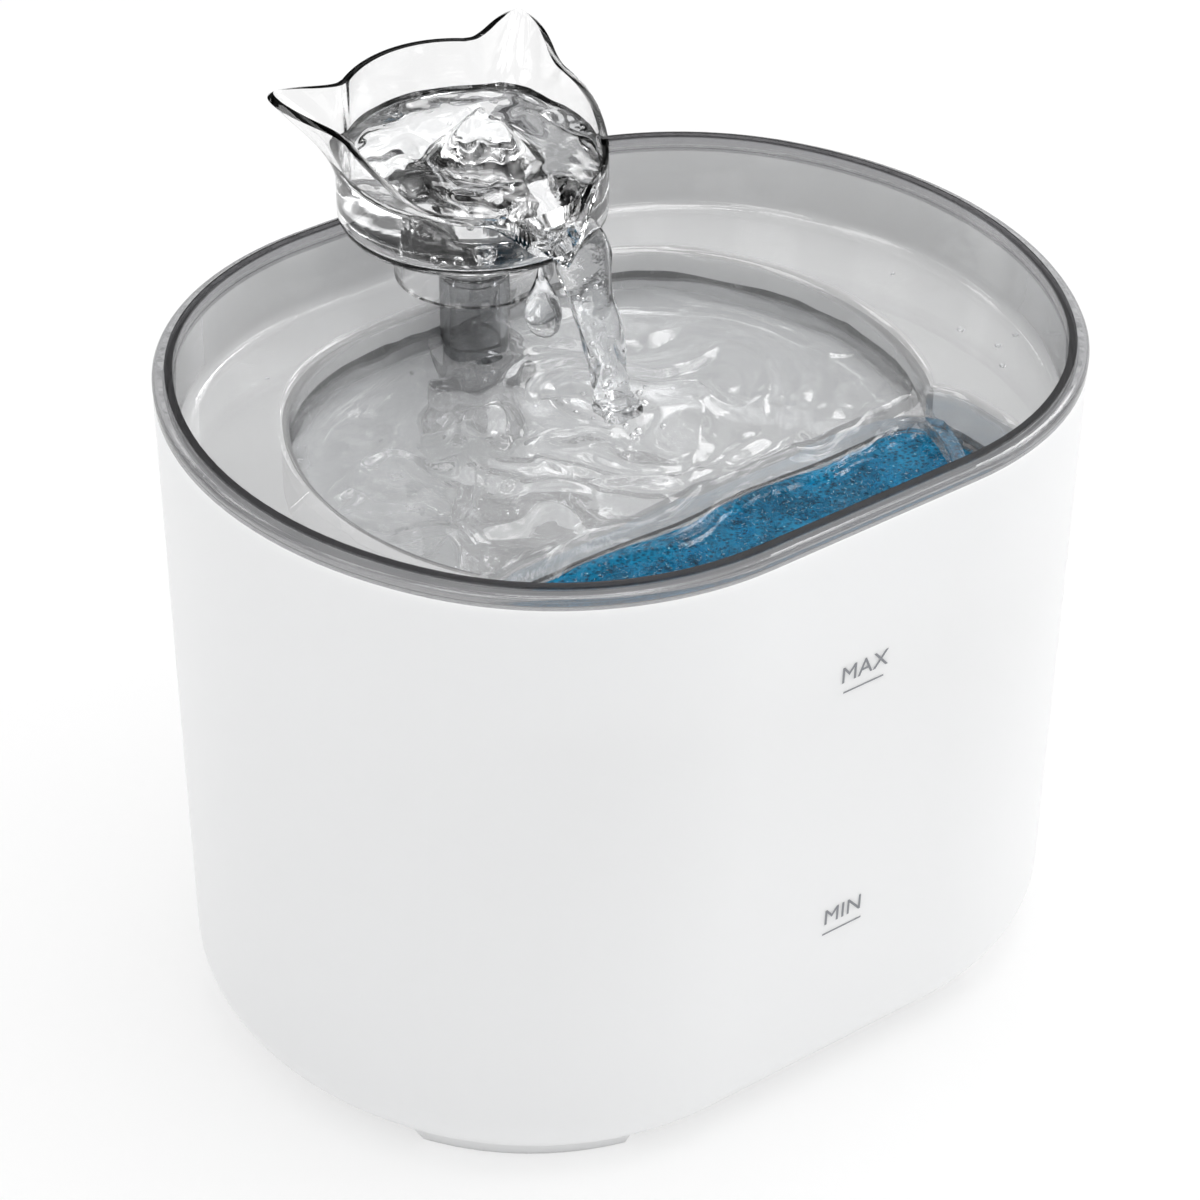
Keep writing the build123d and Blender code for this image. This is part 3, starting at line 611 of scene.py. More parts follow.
def make_basin_water(w):
    """The bowl's and the pocket's water in one body, down to their floors."""
    def floor(x, y):
        return BOWL_FLOOR + (POCKET_FLOOR - BOWL_FLOOR) * (1 - smoothstep(-0.027, -0.0245, y))

    def low_wall(rise):
        return lambda x, y: floor(x, y) + rise

    bm = disc(rings=110, spokes=400)
    walls = [(low_wall(0.0085), -0.0005), (low_wall(0.0040), 0.0002), (low_wall(0.0013), 0.0024),
             (floor, 0.0060)]
    pour(bm, (0, 0), basin_reach, basin_top(w), walls)
    put("basin_water", bm, water("basin_water", 0.00016, 0.007), "tray")


CUP_R, CUP_WALL, CUP_FOOT, CUP_EDGE = 0.0296, 0.0017, 0.161, 0.0024
CUP_BORE, CUP_NECK = 0.00908, 0.1662     # the bore over the riser, and the top of its neck
CUP_FLOOR = 0.1630
# how far an ear flares out, by the angle in degrees from straight sideways
EAR = ((6, 0.0), (12, 0.0005), (18, 0.0026), (24, 0.0060), (30, 0.0096), (35, 0.0121),
       (39, 0.0130), (42.5, 0.0118), (46, 0.0080), (49.5, 0.0036), (53, 0.0009), (57, 0.0))
# height of the rim, by how far back it is
RIM = ((0.014, 0.1743), (0.033, 0.1760), (0.039, 0.1775), (0.047, 0.1816), (0.056, 0.1848),
       (0.068, 0.1872), (0.084, 0.1894))
NOTCH = (0.0126, 0.1748, 0.1636)         # half width, top and bottom of the spout's V
SPOUT_BACK = AXIS.y - 0.015              # the V only cuts what lies in front of this


def table_at(rows, place):
    """Smooth value of a table of (place, value) rows."""
    if place <= rows[0][0]:
        return rows[0][1]
    for k in range(len(rows) - 1):
        (p, a), (q, b) = rows[k], rows[k + 1]
        if place <= q:
            before, after = rows[max(k - 1, 0)], rows[min(k + 2, len(rows) - 1)]
            slope_a = (b - before[1]) / (q - before[0])
            slope_b = (after[1] - a) / (after[0] - p)
            t, w = (place - p) / (q - p), q - p
            return ((2 * t ** 3 - 3 * t ** 2 + 1) * a + (t ** 3 - 2 * t ** 2 + t) * w * slope_a
                    + (3 * t ** 2 - 2 * t ** 3) * b + (t ** 3 - t ** 2) * w * slope_b)
    return rows[-1][1]


def cup_wall(angle, z):
    """Radius of the cup's outside: round below, with two ears flaring out towards the rim."""
    turn = math.degrees(math.atan2(math.sin(angle), abs(math.cos(angle))))
    flare = smoothstep(0.1715, 0.1950, z) * 1.28
    return CUP_R + 0.0002 * (z - CUP_FOOT) / 0.028 + table_at(EAR, turn) * flare


def cup_rim(x, y):
    """Height of the rim over a point: high at the back, dipping to the front, with the V."""
    half, top, bottom = NOTCH
    rim = table_at(RIM, y)
    if y < SPOUT_BACK:
        rim = min(rim, bottom + (top - bottom) * abs(x) / half)
    return rim


def cup_reach(angle, inset=None):
    """How far the water reaches from the cup's middle. The surface, which has no inset,
    follows the foot of the ears, and runs out in front to the spout."""
    if inset is None:
        r = cup_wall(angle, 0.1775) - CUP_WALL + 0.0004
        if math.sin(angle) < 0:
            r += 0.0040 * math.exp(-(r * math.cos(angle) / 0.0062) ** 4)
        return r
    return CUP_R - CUP_WALL + 0.0002 - inset


def cup_top(w):
    """The cup's surface: a swell over the riser, waves round it, a dip towards the spout."""
    def height(x, y):
        dx, dy = x - 0.002, y - 0.0520
        r = math.hypot(dx, dy)
        dome = w.dome * math.exp(-(r / 0.0078) ** 3) * (1 + 0.30 * wobble(x, y, 0.0055, 3.0))
        moat = -0.0012 * math.exp(-((r - 0.0125) / 0.003) ** 2)
        tilt = 0.045 * (y - AXIS.y)
        bend = 0.004 * wobble(x, y, 0.009, 4.0)
        waves = 0.0012 * wobble(x + bend, y, 0.0085, 21.0)
        waves += 0.0006 * wobble(x, y + bend, 0.0045, 27.0)
        waves += 0.0004 * math.sin(r / 0.0014 + 4 * wobble(x, y, 0.012, 8.0)) * math.exp(-r / 0.016)
        waves *= 1 - smoothstep(0.0240, 0.0275, r) * 0.7
        ahead = AXIS.y - y
        dip = smoothstep(0.014, 0.0305, ahead) * math.exp(-(x / 0.0105) ** 4)
        lower = smoothstep(0.010, 0.027, ahead) * 0.0022
        return w.cup_level + dome + moat + tilt + waves - lower - 0.0075 * dip

    return height


def make_cup():
    """A thin shell, spun, drawn out to the ears and up to the rim, then given its wall."""
    base, tall, levels = CUP_FOOT + CUP_EDGE, 0.068, 34
    profile = [(CUP_BORE, CUP_NECK), (CUP_BORE, 0.1636), (CUP_BORE, CUP_FOOT), (0.014, CUP_FOOT),
               (0.020, CUP_FOOT)]
    for k in range(6):
        a = math.pi / 2 * k / 6
        profile.append((CUP_R - CUP_EDGE + CUP_EDGE * math.sin(a), base - CUP_EDGE * math.cos(a)))
    profile += [(CUP_R, base + tall * k / levels) for k in range(levels + 1)]
    bm = spun(profile, steps=480)
    for v in bm.verts:
        if v.co.z < base - WELD or v.co.xy.length < CUP_R - 0.001:
            continue
        share = (v.co.z - base) / tall
        angle = math.atan2(v.co.y, v.co.x)
        rim_z, r = 0.180, CUP_R
        for _ in range(4):
            rim_z = cup_rim(r * math.cos(angle), AXIS.y + r * math.sin(angle))
            r = cup_wall(angle, rim_z)
        z = base + share * (rim_z - base)
        r = cup_wall(angle, z)
        v.co = (r * math.cos(angle), r * math.sin(angle), z)
    bmesh.ops.translate(bm, verts=bm.verts, vec=AXIS)
    # the beak: the edge of the V is drawn forward and down, most in its middle
    half, top, _ = NOTCH
    edge = [e for e in bm.edges if e.is_boundary and all(
        v.co.z > CUP_FLOOR and v.co.y < SPOUT_BACK and abs(v.co.x) < half * 1.02
        and v.co.z < top + 0.0004 for v in e.verts)]
    for step in (0.35, 0.35, 0.3):
        new = bmesh.ops.extrude_edge_only(bm, edges=edge)["geom"]
        rim = [g for g in new if isinstance(g, bmesh.types.BMVert)]
        edge = [g for g in new if isinstance(g, bmesh.types.BMEdge)
                and all(v in rim for v in g.verts) and g.is_boundary]
        for v in rim:
            near = 1 - min(1.0, abs(v.co.x) / half)
            v.co.y -= step * (0.0013 + 0.0031 * near)
            v.co.z -= step * 0.0012 * near
    bmesh.ops.recalc_face_normals(bm, faces=bm.faces)
    lowest = min(bm.faces, key=lambda f: f.calc_center_median().z)
    if lowest.normal.z > 0:
        bmesh.ops.reverse_faces(bm, faces=bm.faces)
    mesh = bake("cat_ear_cup", bm, smooth=True)
    cup = link("cat_ear_cup", mesh)
    wall = cup.modifiers.new("wall", "SOLIDIFY")
    wall.thickness, wall.offset, wall.use_even_offset = CUP_WALL, -1, True
    edge = cup.modifiers.new("soft_edge", "BEVEL")
    edge.width, edge.segments = 0.0006, 3
    edge.limit_method, edge.angle_limit = "ANGLE", math.radians(55)
    f = setting("finish")
    mesh.materials.append(smoke_plastic("smoke_cup", f.smoke, f.smoke_depth * 0.3, edge=0.8))
    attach(cup, "cup")
    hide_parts("spout_cup")


def make_cup_water(w):
    """The cup's water, out to the beak."""
    bm = disc(rings=64, spokes=220)
    walls = [(0.1740, -0.0002), (0.1672, -0.0002), (0.1650, 0.0002), (0.1636, 0.0012),
             (0.1629, 0.0030)]
    # the rings crowd towards the edge
    for v in bm.verts:
        share = math.hypot(v.co.x, v.co.y)
        if share:
            v.co *= share ** -0.12
    pour(bm, (AXIS.x, AXIS.y), cup_reach, cup_top(w), walls)
    put("cup_water", bm, water("cup_water", 0.00006, 0.006), "cup")


STREAM = (  # middle of the stream, its width and thickness, and its turn, down the fall
    ((0.0020, 0.0262, 0.1712), 0.0096, 0.0034, 0),
    ((0.0032, 0.0226, 0.1702), 0.0122, 0.0042, -6),
    ((0.0042, 0.0200, 0.1660), 0.0126, 0.0050, -14),
    ((0.0042, 0.0182, 0.1606), 0.0112, 0.0056, -22),
    ((0.0044, 0.0164, 0.1540), 0.0102, 0.0058, -30),
    ((0.0049, 0.0144, 0.1470), 0.0094, 0.0062, -36),
    ((0.0054, 0.0122, 0.1400), 0.0088, 0.0066, -38),
    ((0.0057, 0.0104, 0.1340), 0.0086, 0.0072, -38),
    ((0.0058, 0.0094, 0.1296), 0.0106, 0.0098, -38),
)


def along(rows, share):
    """A point between the rows of a table, eased through its neighbours."""
    place = share * (len(rows) - 1)
    k = min(int(place), len(rows) - 2)
    t = place - k
    before, after = rows[max(k - 1, 0)], rows[min(k + 2, len(rows) - 1)]
    a, b = rows[k], rows[k + 1]

    def ease(p, q, r, s):
        return q + 0.5 * t * (r - p + t * (2 * p - 5 * q + 4 * r - s + t * (3 * (q - r) + s - p)))

    middle = Vector([ease(before[0][i], a[0][i], b[0][i], after[0][i]) for i in range(3)])
    return middle, *[ease(before[i], a[i], b[i], after[i]) for i in (1, 2, 3)]


def make_stream():
    """A rippled rope of water, drawn out of a circle row by row."""
    bm = bmesh.new()
    steps = 130
    ring = bmesh.ops.create_circle(bm, cap_ends=True, segments=48, radius=1.0)["verts"]
    rows = [list(ring)]
    faces = list(bm.faces)
    for k in range(steps):
        new = bmesh.ops.extrude_face_region(bm, geom=faces)["geom"]
        if k:
            bmesh.ops.delete(bm, geom=faces, context="FACES_ONLY")
        faces = [g for g in new if isinstance(g, bmesh.types.BMFace)]
        ring = [g for g in new if isinstance(g, bmesh.types.BMVert)]
        bmesh.ops.translate(bm, verts=ring, vec=(0, 0, -1))
        rows.append(ring)
    for k, ring in enumerate(rows):
        share = k / steps
        middle, wide, thick, turn = along(STREAM, share)
        for v in ring:
            angle = math.atan2(v.co.y, v.co.x)
            ripple = (1 + 0.22 * wobble(math.cos(angle) * 0.8, share * 6.0, 1.0, 4.0)
                      + 0.09 * math.sin(3 * angle + share * 13) * (0.3 + share)
                      + 0.07 * math.sin(5 * angle - share * 34) * share ** 2)
            flat = Vector((math.cos(angle) * wide / 2, math.sin(angle) * thick / 2, 0)) * ripple
            v.co = middle + Matrix.Rotation(math.radians(turn), 3, "Z") @ flat
    bmesh.ops.remove_doubles(bm, verts=bm.verts, dist=WELD / 10)
    put("water_stream", bm, water("stream_water", 0.0002, 0.0035), "cup")


def drop(bm, place, radius, tall=1.0, segments=2):
    """Adds a ball, tall times as high as it's wide."""
    new = bmesh.ops.create_icosphere(bm, subdivisions=segments, radius=radius)["verts"]
    bmesh.ops.scale(bm, verts=new, vec=(1, 1, tall))
    bmesh.ops.translate(bm, verts=new, vec=place)


def make_bubbles():
    """Air in the cup and in the stream."""
    pick = random.Random(31)
    bm = bmesh.new()
    for x, y, radius in (
            (-0.0107, 0.0347, 0.0026), (-0.0198, 0.0395, 0.0010), (-0.0195, 0.0366, 0.0008),
            (-0.0169, 0.0351, 0.0013), (-0.0133, 0.0310, 0.0009), (-0.0052, 0.0300, 0.0008)):
        drop(bm, (x, y, CUP_FLOOR + radius), radius, segments=3)
    for _ in range(16):
        turn, far = pick.uniform(0, math.tau), pick.uniform(0.010, 0.023)
        place = (*around(AXIS, far, turn), pick.uniform(0.1645, 0.1735))
        drop(bm, place, pick.uniform(0.0003, 0.0008))
    put("cup_bubbles", bm, air("cup_air"), "cup")
    bm = bmesh.new()
    for _ in range(26):
        share = pick.uniform(0.35, 0.99)
        middle, wide, thick, turn = along(STREAM, share)
        side = Vector((pick.uniform(-0.28, 0.28) * wide, pick.uniform(-0.2, 0.2) * thick, 0))
        place = middle + Matrix.Rotation(math.radians(turn), 3, "Z") @ side
        drop(bm, place, pick.uniform(0.0002, 0.0006))
    put("stream_bubbles", bm, air("stream_air"), "cup")


def make_splashes():
    """Beads of water lying on the tray's ring, and bubbles round the impact."""
    pick = random.Random(12)
    bm = bmesh.new()
    for x, y, radius in (
            (0.080, -0.018, 0.0009), (0.088, -0.027, 0.0007), (0.082, -0.028, 0.0008),
            (0.077, -0.035, 0.0007), (0.0845, 0.010, 0.0005), (-0.083, 0.004, 0.0006),
            (-0.086, -0.016, 0.0005), (0.030, 0.071, 0.0006), (-0.052, 0.058, 0.0005)):
        drop(bm, (x, y, RING_FLOOR + radius * 0.45), radius, tall=0.65)
    put("ring_droplets", bm, water("bead_water", 0.00002, 0.002), "tray")
    bm = bmesh.new()
    for _ in range(20):
        turn, far = pick.uniform(0, math.tau), abs(pick.gauss(0.0085, 0.003))
        place = (*around(IMPACT, far, turn), IMPACT[2] - 0.0004)
        drop(bm, place, pick.uniform(0.0004, 0.0009))
    put("basin_bubbles", bm, air("basin_air"), "tray")


def make_hanging_drop():
    """The pear-shaped drop under the front of the cup."""
    top = 0.1612
    bm = spun(((0, top), (0.0006, top), (0.0010, 0.1590), (0.0016, 0.1566), (0.0029, 0.1540),
               (0.0039, 0.1512), (0.0042, 0.1486), (0.0038, 0.1460), (0.0026, 0.1440),
               (0.0010, 0.1431), (0, 0.1429)), steps=28)
    for v in bm.verts:
        lean = (top - v.co.z) * 0.05
        v.co += Vector((lean - 0.0018 + 0.0004 * wobble(v.co.x, v.co.z, 0.004, 2.0), 0.0262, 0))
    piece = put("hanging_drop", bm, water("drop_water", 0.0001, 0.004), "cup")
    soften = piece.modifiers.new("soften", "SUBSURF")
    soften.levels = soften.render_levels = 2


def make_sponge(s):
    """The blue filter sponge: a rounded block with a ragged top, and fibres on it."""
    low, high = SPONGE_LOW, SPONGE_HIGH
    middle = (low + high) / 2
    half_x, half_y, corner = (high.x - low.x) / 2, (high.y - low.y) / 2, 0.010

    def reach(angle, inset=0.0):
        def held(r):
            x, y = r * abs(math.cos(angle)), r * abs(math.sin(angle))
            end, side = half_x - inset, half_y - inset
            if x <= end - corner or y <= side - corner:
                return x <= end and y <= side
            return math.hypot(x - end + corner, y - side + corner) <= corner

        return farthest(held, half_x * 1.3, 22)

    def top(x, y):
        rough = 0.0005 * wobble(x, y, 0.006, 2.0) + 0.0003 * wobble(x, y, 0.0022, 8.0)
        return high.z - 0.0006 + rough

    bm = disc(rings=40, spokes=220)
    walls = [(high.z - 0.0016, 0.0002), (middle.z, 0.0002), (low.z + 0.001, 0.0003),
             (low.z + 0.0001, 0.0012)]
    pour(bm, (middle.x, middle.y), reach, top, walls)
    body = put("blue_sponge", bm, foam("wet_blue_foam", s.deep, s.bright), "filter")
    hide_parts("filter_sponge")

    # a few tufts, strewn over the top; a glinting fibre is short and wears the second finish, whose
    # pale colour is a painted glint
    pick = random.Random(s.seed)
    in_tuft, spread, margin = 24, 0.0018, 0.004
    tufts = []
    for _ in range(12):
        bm = bmesh.new()
        for _ in range(in_tuft):
            wears_painted_glint = pick.random() < 0.15
            size = s.length * pick.uniform(0.45, 1.15) * (0.34 if wears_painted_glint else 1.0)
            new = bmesh.ops.create_cone(bm, cap_ends=True, segments=3, radius1=0.00011,
                                        radius2=0.00004, depth=size)["verts"]
            bmesh.ops.translate(bm, verts=new, vec=(0, 0, size / 2))
            lean = Matrix.Rotation(pick.uniform(0.7, 1.4), 4, "X")
            spin = Matrix.Rotation(pick.uniform(0, math.tau), 4, "Z")
            spot = Matrix.Translation((
                pick.gauss(0, spread), pick.gauss(0, spread), pick.uniform(-0.0002, 0.0001)))
            bmesh.ops.transform(bm, matrix=spot @ spin @ lean, verts=new)
            for face in {f for v in new for f in v.link_faces}:
                face.material_index = int(wears_painted_glint)
        tufts.append(bake("tuft", bm))
    bm = bmesh.new()
    for _ in range(s.fibres // in_tuft):
        x = pick.uniform(low.x + margin, high.x - margin)
        y = pick.uniform(low.y + margin, high.y - margin)
        before = len(bm.verts)
        bm.from_mesh(pick.choice(tufts))
        bm.verts.ensure_lookup_table()
        spin = Matrix.Rotation(pick.uniform(0, math.tau), 4, "Z")
        spot = Matrix.Translation((x, y, top(x, y)))
        bmesh.ops.transform(bm, matrix=spot @ spin, verts=bm.verts[before:])
    for tuft in tufts:
        bpy.data.meshes.remove(tuft)
    ceiling = high.z + 0.0016
    for v in bm.verts:
        v.co.x = min(max(v.co.x, low.x), high.x)
        v.co.y = min(max(v.co.y, low.y), high.y)
        v.co.z = min(v.co.z, ceiling)
    fibre = foam("blue_fibre", darker(s.bright, 0.16), darker(s.bright, 1.5), 0.0026)
    put("sponge_fibres", bm, (fibre, painted_glint_finish("painted_glint_fibre")), "filter",
        smooth=False)


INK = 0.00002                            # half the thickness of the print
TANK_FOOT, TANK_BRIM, TANK_TALL = 0.1473, 0.1654, 0.154    # depth below and above, height


def make_level_mark(name, words, low, line):
    """One word and its underline, printed on the front of the tank."""
    curve = bpy.data.curves.new(name, "FONT")
    curve.body, curve.align_x = words, "CENTER"
    curve.size, curve.space_character, curve.extrude = 0.0058, 1.03, INK
    holder = link(name + "_curve", curve)
    bpy.context.view_layer.update()
    solid = holder.evaluated_get(bpy.context.evaluated_depsgraph_get())
    mesh = bpy.data.meshes.new_from_object(solid)
    bpy.data.objects.remove(holder)
    bm = bmesh.new()
    bm.from_mesh(mesh)
    bpy.data.meshes.remove(mesh)
    rule = bmesh.ops.create_cube(bm, size=1.0)["verts"]
    bmesh.ops.scale(bm, verts=rule, vec=(0.01068, 0.00036, 2 * INK))
    bmesh.ops.translate(bm, verts=rule, vec=(0, line - low, 0))
    lean = (TANK_BRIM - TANK_FOOT) / 2 / TANK_TALL
    up, across = Vector((0, -lean, 1)).normalized(), Vector((1, 0, 0))
    out = across.cross(up)
    upright = Matrix((across, up, out)).transposed().to_4x4()
    origin = Vector((0, -(TANK_FOOT / 2 + lean * low), low)) + out * INK
    bmesh.ops.transform(bm, matrix=Matrix.Translation(origin) @ upright, verts=bm.verts)
    bmesh.ops.remove_doubles(bm, verts=bm.verts, dist=WELD / 10)
    put(name, bm, print_ink(name + "_ink", setting("finish").marks), "tank",
        smooth=False)


# ---- stage
def make_floor(reach):
    """White paper, which also glows a little where it's seen, so that it stays pale."""
    bm = bmesh.new()
    bmesh.ops.create_circle(bm, cap_ends=True, segments=96, radius=reach)
    mesh = bake("studio_floor", bm)
    floor = link("studio_floor", mesh)
    f = start("studio_floor")
    tone = f.mix(f.grain(0.4, 2), (0.96,) * 3, (0.98,) * 3)
    paper = f.node("BsdfDiffuse", {"Color": tone})
    glow = f.node("Emission", {"Color": (1, 1, 1), "Strength": 1.0})
    seen = f.ray("Is Camera Ray") + f.ray("Is Transmission Ray") + f.ray("Is Glossy Ray")
    mesh.materials.append(f.end(f.blend(f.spread(seen, 0.0, 1.0, 0.0, 0.62), paper, glow)))


def make_sky(strength):
    """Even soft light, a white background, and for gloss and clear things a studio of soft
    boxes with dark gaps between them, which is what draws their edges."""
    world = bpy.data.worlds.new("studio_sky")
    bpy.context.scene.world = world
    f = Finish(world)
    way = f.node("TexCoord", out="Generated")
    east, north, rise = (f.part(way, axis) for axis in "XYZ")
    turned = f.node("Mapping", {
        "Vector": way, "Location": (0.35, 0.1, 0.0), "Scale": (1, 1, 1.7)})
    clouds = f.node("TexNoise", {
        "Vector": turned, "Scale": 2.1, "Detail": 1.0, "Roughness": 0.35,
        "Distortion": 0.3}, out="Fac")
    patch = f.greys(clouds, (0.0, 0.03), (0.36, 0.05), (0.42, 0.35), (0.47, 0.85), (0.60, 1.0),
                    (1.0, 1.15))
    height = f.greys(f.spread(rise, -1, 1), (0.0, 1.0), (0.51, 1.0), (0.545, 0.10), (0.60, 0.12),
                     (0.66, 0.80), (0.90, 0.95), (1.0, 1.2))
    studio = f.mix(f.spread(rise, 0.0, 0.12), height, f.mix(1.0, height, patch, "MULTIPLY"))
    # large soft boxes above and behind, which water and gloss mirror
    strips = f.node("TexNoise", {
        "Vector": turned, "Scale": 3.4, "Detail": 0.0, "Distortion": 0.2}, out="Fac")
    side = f.spread(east * 0.788 - north * 0.616 + (strips - 0.5) * 0.9, 0.0, 0.09)
    panel = side * f.spread(rise, 0.30, 0.40) * f.spread(east + north, 0.3, 0.5)
    glare = panel * 6.0 + f.spread(strips, 0.52, 0.57) * f.spread(rise, 0.36, 0.44) * 5.0

    def light(colour, level):
        return f.node("Background", {0: colour, 1: level})

    # only rays that haven't met a matt surface yet see the studio; the rest get even light
    first = f.spread(f.ray("Diffuse Depth"), 0.0, 0.5, 1.0, 0.0)
    seen = f.blend(f.ray("Is Transmission Ray") * first, light((1, 1, 1), strength),
                   light(studio, 1.0))
    seen = f.blend(f.ray("Is Glossy Ray") * first, seen, light(studio, glare + 0.2))
    f.end(f.blend(f.ray("Is Camera Ray"), seen, light((1, 1, 1), 1.0)))


def lamp(name, place, aim, size, power):
    """A soft box, size metres wide and high, power in watts."""
    data = bpy.data.lights.new(name, "AREA")
    data.shape, data.size, data.size_y = "RECTANGLE", *size
    data.energy = power
    thing = link(name, data)
    thing.location = place
    thing.rotation_euler = (Vector(aim) - Vector(place)).to_track_quat("-Z", "Y").to_euler()


def make_camera(lens):
    """Looks down on the left front of the fountain."""
    data = bpy.data.cameras.new("camera")
    data.lens, data.sensor_width, data.sensor_height = lens, 36.0, 36.0
    data.sensor_fit = "HORIZONTAL"
    data.clip_start, data.clip_end = 0.01, 30.0
    thing = link("camera", data)
    place = Vector((-0.48646, -0.62350, 0.62123))
    aim = Vector((-0.004921, 0.001555, 0.089252))
    turn = (aim - place).to_track_quat("-Z", "Y").to_matrix().to_4x4()
    thing.matrix_world = Matrix.Translation(place) @ turn
    bpy.context.scene.camera = thing


# ---- operators
class FOUNTAIN_OT_stage(bpy.types.Operator):
    """Sets up the floor, the soft studio light and the camera"""
    bl_idname = "fountain.stage"
    bl_label = "Stage"

    def execute(self, context):
        s = setting("stage")
        context.scene.view_settings.view_transform = "Standard"
        make_floor(s.reach)
        make_sky(s.sky)
        aim = (0, 0, 0.1)
        lamp("top_softbox", (0.25, -0.1, 1.5), aim, size=(1.3, 0.9), power=7.0)
        lamp("right_softbox", (1.5, -0.9, 0.9), aim, size=(0.8, 1.2), power=4.5)
        make_camera(s.lens)
        return {"FINISHED"}


class FOUNTAIN_OT_shell_finish(bpy.types.Operator):
    """Finishes the tank, its feet, the cord grommet and the seals"""
    bl_idname = "fountain.shell_finish"
    bl_label = "Shell and rubber"

    def execute(self, context):
        coat(gloss_shell("white_shell", setting("finish").shell), "tank")
        coat(moulded("grey_rubber", (0.62, 0.63, 0.64), (0.5, 0.7)), "foot_pads")
        coat(moulded("grommet_rubber", (0.34, 0.34, 0.35), (0.5, 0.65)), "cord_grommet")
        coat(moulded("black_rubber", (0.025, 0.025, 0.028), (0.38, 0.5), 0.0006),
             "neck_seal", "volute_seal", "cable_gland", "rear_bush")
        return {"FINISHED"}


class FOUNTAIN_OT_clear_finish(bpy.types.Operator):
    """Finishes the smoke-tinted clear plastic and the silicone"""
    bl_idname = "fountain.clear_finish"
    bl_label = "Clear plastic"

    def execute(self, context):
        f = setting("finish")
        tint, depth = f.smoke, f.smoke_depth
        # edge sets where each piece's painted edge shade starts; the tray also gets the painted
        # dark bead from BEAD_FOOT up
        coat(smoke_plastic("smoke_tray", tint, depth * 0.8, 0.25, 0.64, BEAD_FOOT), "tray")
        coat(smoke_plastic("smoke_cup_solid", tint, depth * 0.6), "spout_cup")
        coat(smoke_plastic("smoke_collar", tint, depth * 0.5, edge=0.7), "cup_collar")
        coat(smoke_plastic("smoke_frame", tint, depth * 0.7, haze=0.06), "filter_frame")
        coat(smoke_plastic("smoke_tube", f.tube, depth * 7.0, haze=0.06), "riser_tube")
        coat(soft_clear("clear_silicone", (0.80, 0.82, 0.82)), "pump_hose", "suction_cups")
        return {"FINISHED"}


class FOUNTAIN_OT_pump_finish(bpy.types.Operator):
    """Finishes the pump, its motor and the pads under the sponge"""
    bl_idname = "fountain.pump_finish"
    bl_label = "Pump and pads"

    def execute(self, context):
        coat(moulded("black_plastic", (0.035, 0.036, 0.04)),
             "pump_housing", "pump_end_plate", "volute_cover", "intake_cover")
        coat(moulded("grey_plastic", (0.34, 0.35, 0.36)), "flow_gate")
        coat(moulded("white_plastic", (0.80, 0.80, 0.78), (0.3, 0.42), 0.0012, 0.00002),
             "impeller", "front_bush")
        coat(moulded("ferrite", (0.07, 0.07, 0.072), (0.3, 0.45), 0.0004, 0.00002),
             "rotor_magnet")
        coat(ground_steel("shaft_steel"), "rotor_shaft")
        coat(stacked_steel("lamination"), "stator_core")
        coat(wound_copper("copper_coil"), "stator_coil")
        coat(foam("black_foam", (0.012, 0.012, 0.014), (0.07, 0.07, 0.075), 0.0016, 0.1),
             "intake_sponge")
        coat(carbon_felt("carbon_felt"), "carbon_pad")
        return {"FINISHED"}


class FOUNTAIN_OT_level_marks(bpy.types.Operator):
    """Prints the two level marks on the front of the tank"""
    bl_idname = "fountain.level_marks"
    bl_label = "Level marks"

    def execute(self, context):
        make_level_mark("max_mark", "MAX", 0.1128, 0.1102)
        make_level_mark("min_mark", "MIN", 0.0477, 0.0451)
        return {"FINISHED"}


class FOUNTAIN_OT_sponge(bpy.types.Operator):
    """Makes the blue filter sponge and its fibres"""
    bl_idname = "fountain.sponge"
    bl_label = "Filter sponge"

    def execute(self, context):
        make_sponge(setting("sponge"))
        return {"FINISHED"}


class FOUNTAIN_OT_basin_water(bpy.types.Operator):
    """Fills the bowl and the filter pocket with rippling water"""
    bl_idname = "fountain.basin_water"
    bl_label = "Basin water"

    def execute(self, context):
        make_basin_water(setting("water"))
        return {"FINISHED"}


class FOUNTAIN_OT_cup(bpy.types.Operator):
    """Makes the clear spout cup with its two cat ears"""
    bl_idname = "fountain.cup"
    bl_label = "Cat-ear cup"

    def execute(self, context):
        make_cup()
        return {"FINISHED"}


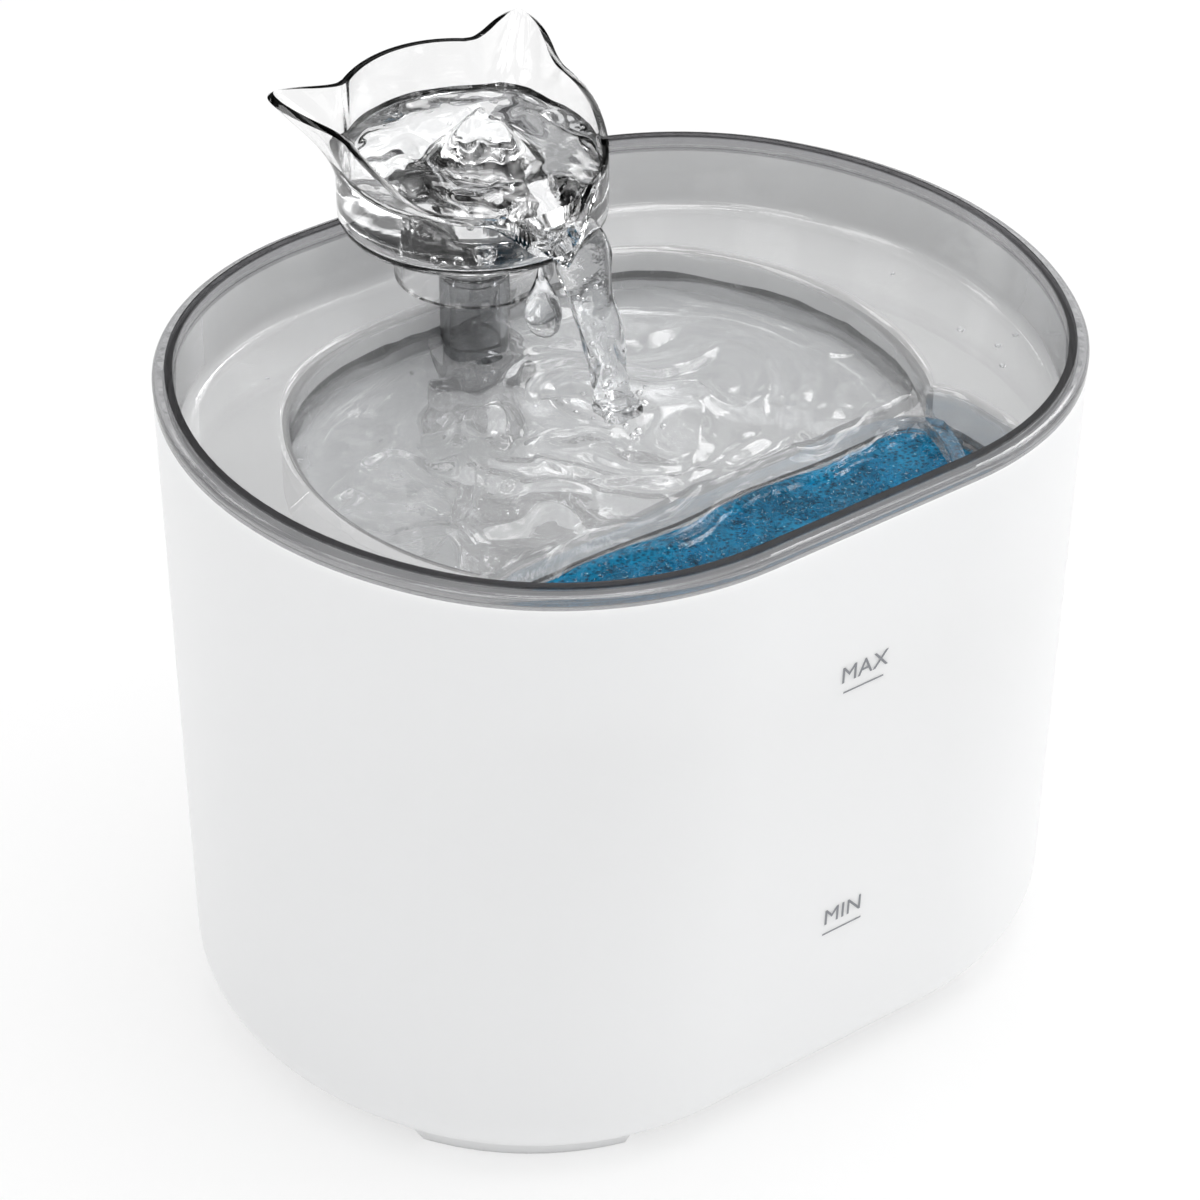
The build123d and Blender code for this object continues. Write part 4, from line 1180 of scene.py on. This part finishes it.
class FOUNTAIN_OT_cup_water(bpy.types.Operator):
    """Fills the spout cup, with the swell over the riser"""
    bl_idname = "fountain.cup_water"
    bl_label = "Cup water"

    def execute(self, context):
        make_cup_water(setting("water"))
        return {"FINISHED"}


class FOUNTAIN_OT_stream(bpy.types.Operator):
    """Makes the stream from the beak to the basin and the drop beside it"""
    bl_idname = "fountain.stream"
    bl_label = "Stream"

    def execute(self, context):
        make_stream()
        make_hanging_drop()
        return {"FINISHED"}


class FOUNTAIN_OT_bubbles(bpy.types.Operator):
    """Makes the bubbles in the water and the droplets on the tray"""
    bl_idname = "fountain.bubbles"
    bl_label = "Bubbles and droplets"

    def execute(self, context):
        make_bubbles()
        make_splashes()
        return {"FINISHED"}


OPERATORS = (  # in the order in which they run
    FOUNTAIN_OT_stage, FOUNTAIN_OT_shell_finish, FOUNTAIN_OT_clear_finish, FOUNTAIN_OT_pump_finish,
    FOUNTAIN_OT_level_marks, FOUNTAIN_OT_sponge, FOUNTAIN_OT_basin_water, FOUNTAIN_OT_cup,
    FOUNTAIN_OT_cup_water, FOUNTAIN_OT_stream, FOUNTAIN_OT_bubbles,
)


class FOUNTAIN_PT_panel(bpy.types.Panel):
    """Lists the fountain's pieces and settings"""
    bl_idname = "FOUNTAIN_PT_panel"
    bl_label = "Fountain"
    bl_space_type = "VIEW_3D"
    bl_region_type = "UI"
    bl_category = "Fountain"

    def draw(self, context):
        for operator in OPERATORS:
            self.layout.operator(operator.bl_idname)
        for group in GROUPS:
            box = self.layout.box()
            values = setting(group)
            for name in values.bl_rna.properties.keys():
                if name not in ("rna_type", "name"):
                    box.prop(values, name)


CLASSES = (*GROUPS.values(), *OPERATORS, FOUNTAIN_PT_panel)


def register():
    for one in CLASSES:
        bpy.utils.register_class(one)
    for name, group in GROUPS.items():
        setattr(bpy.types.Scene, "fountain_" + name, bpy.props.PointerProperty(type=group))


def unregister():
    for name in GROUPS:
        delattr(bpy.types.Scene, "fountain_" + name)
    for one in reversed(CLASSES):
        bpy.utils.unregister_class(one)


def main():
    register()
    for operator in OPERATORS:
        group, name = operator.bl_idname.split(".")
        getattr(getattr(bpy.ops, group), name)()


if __name__ == "__main__":
    main()
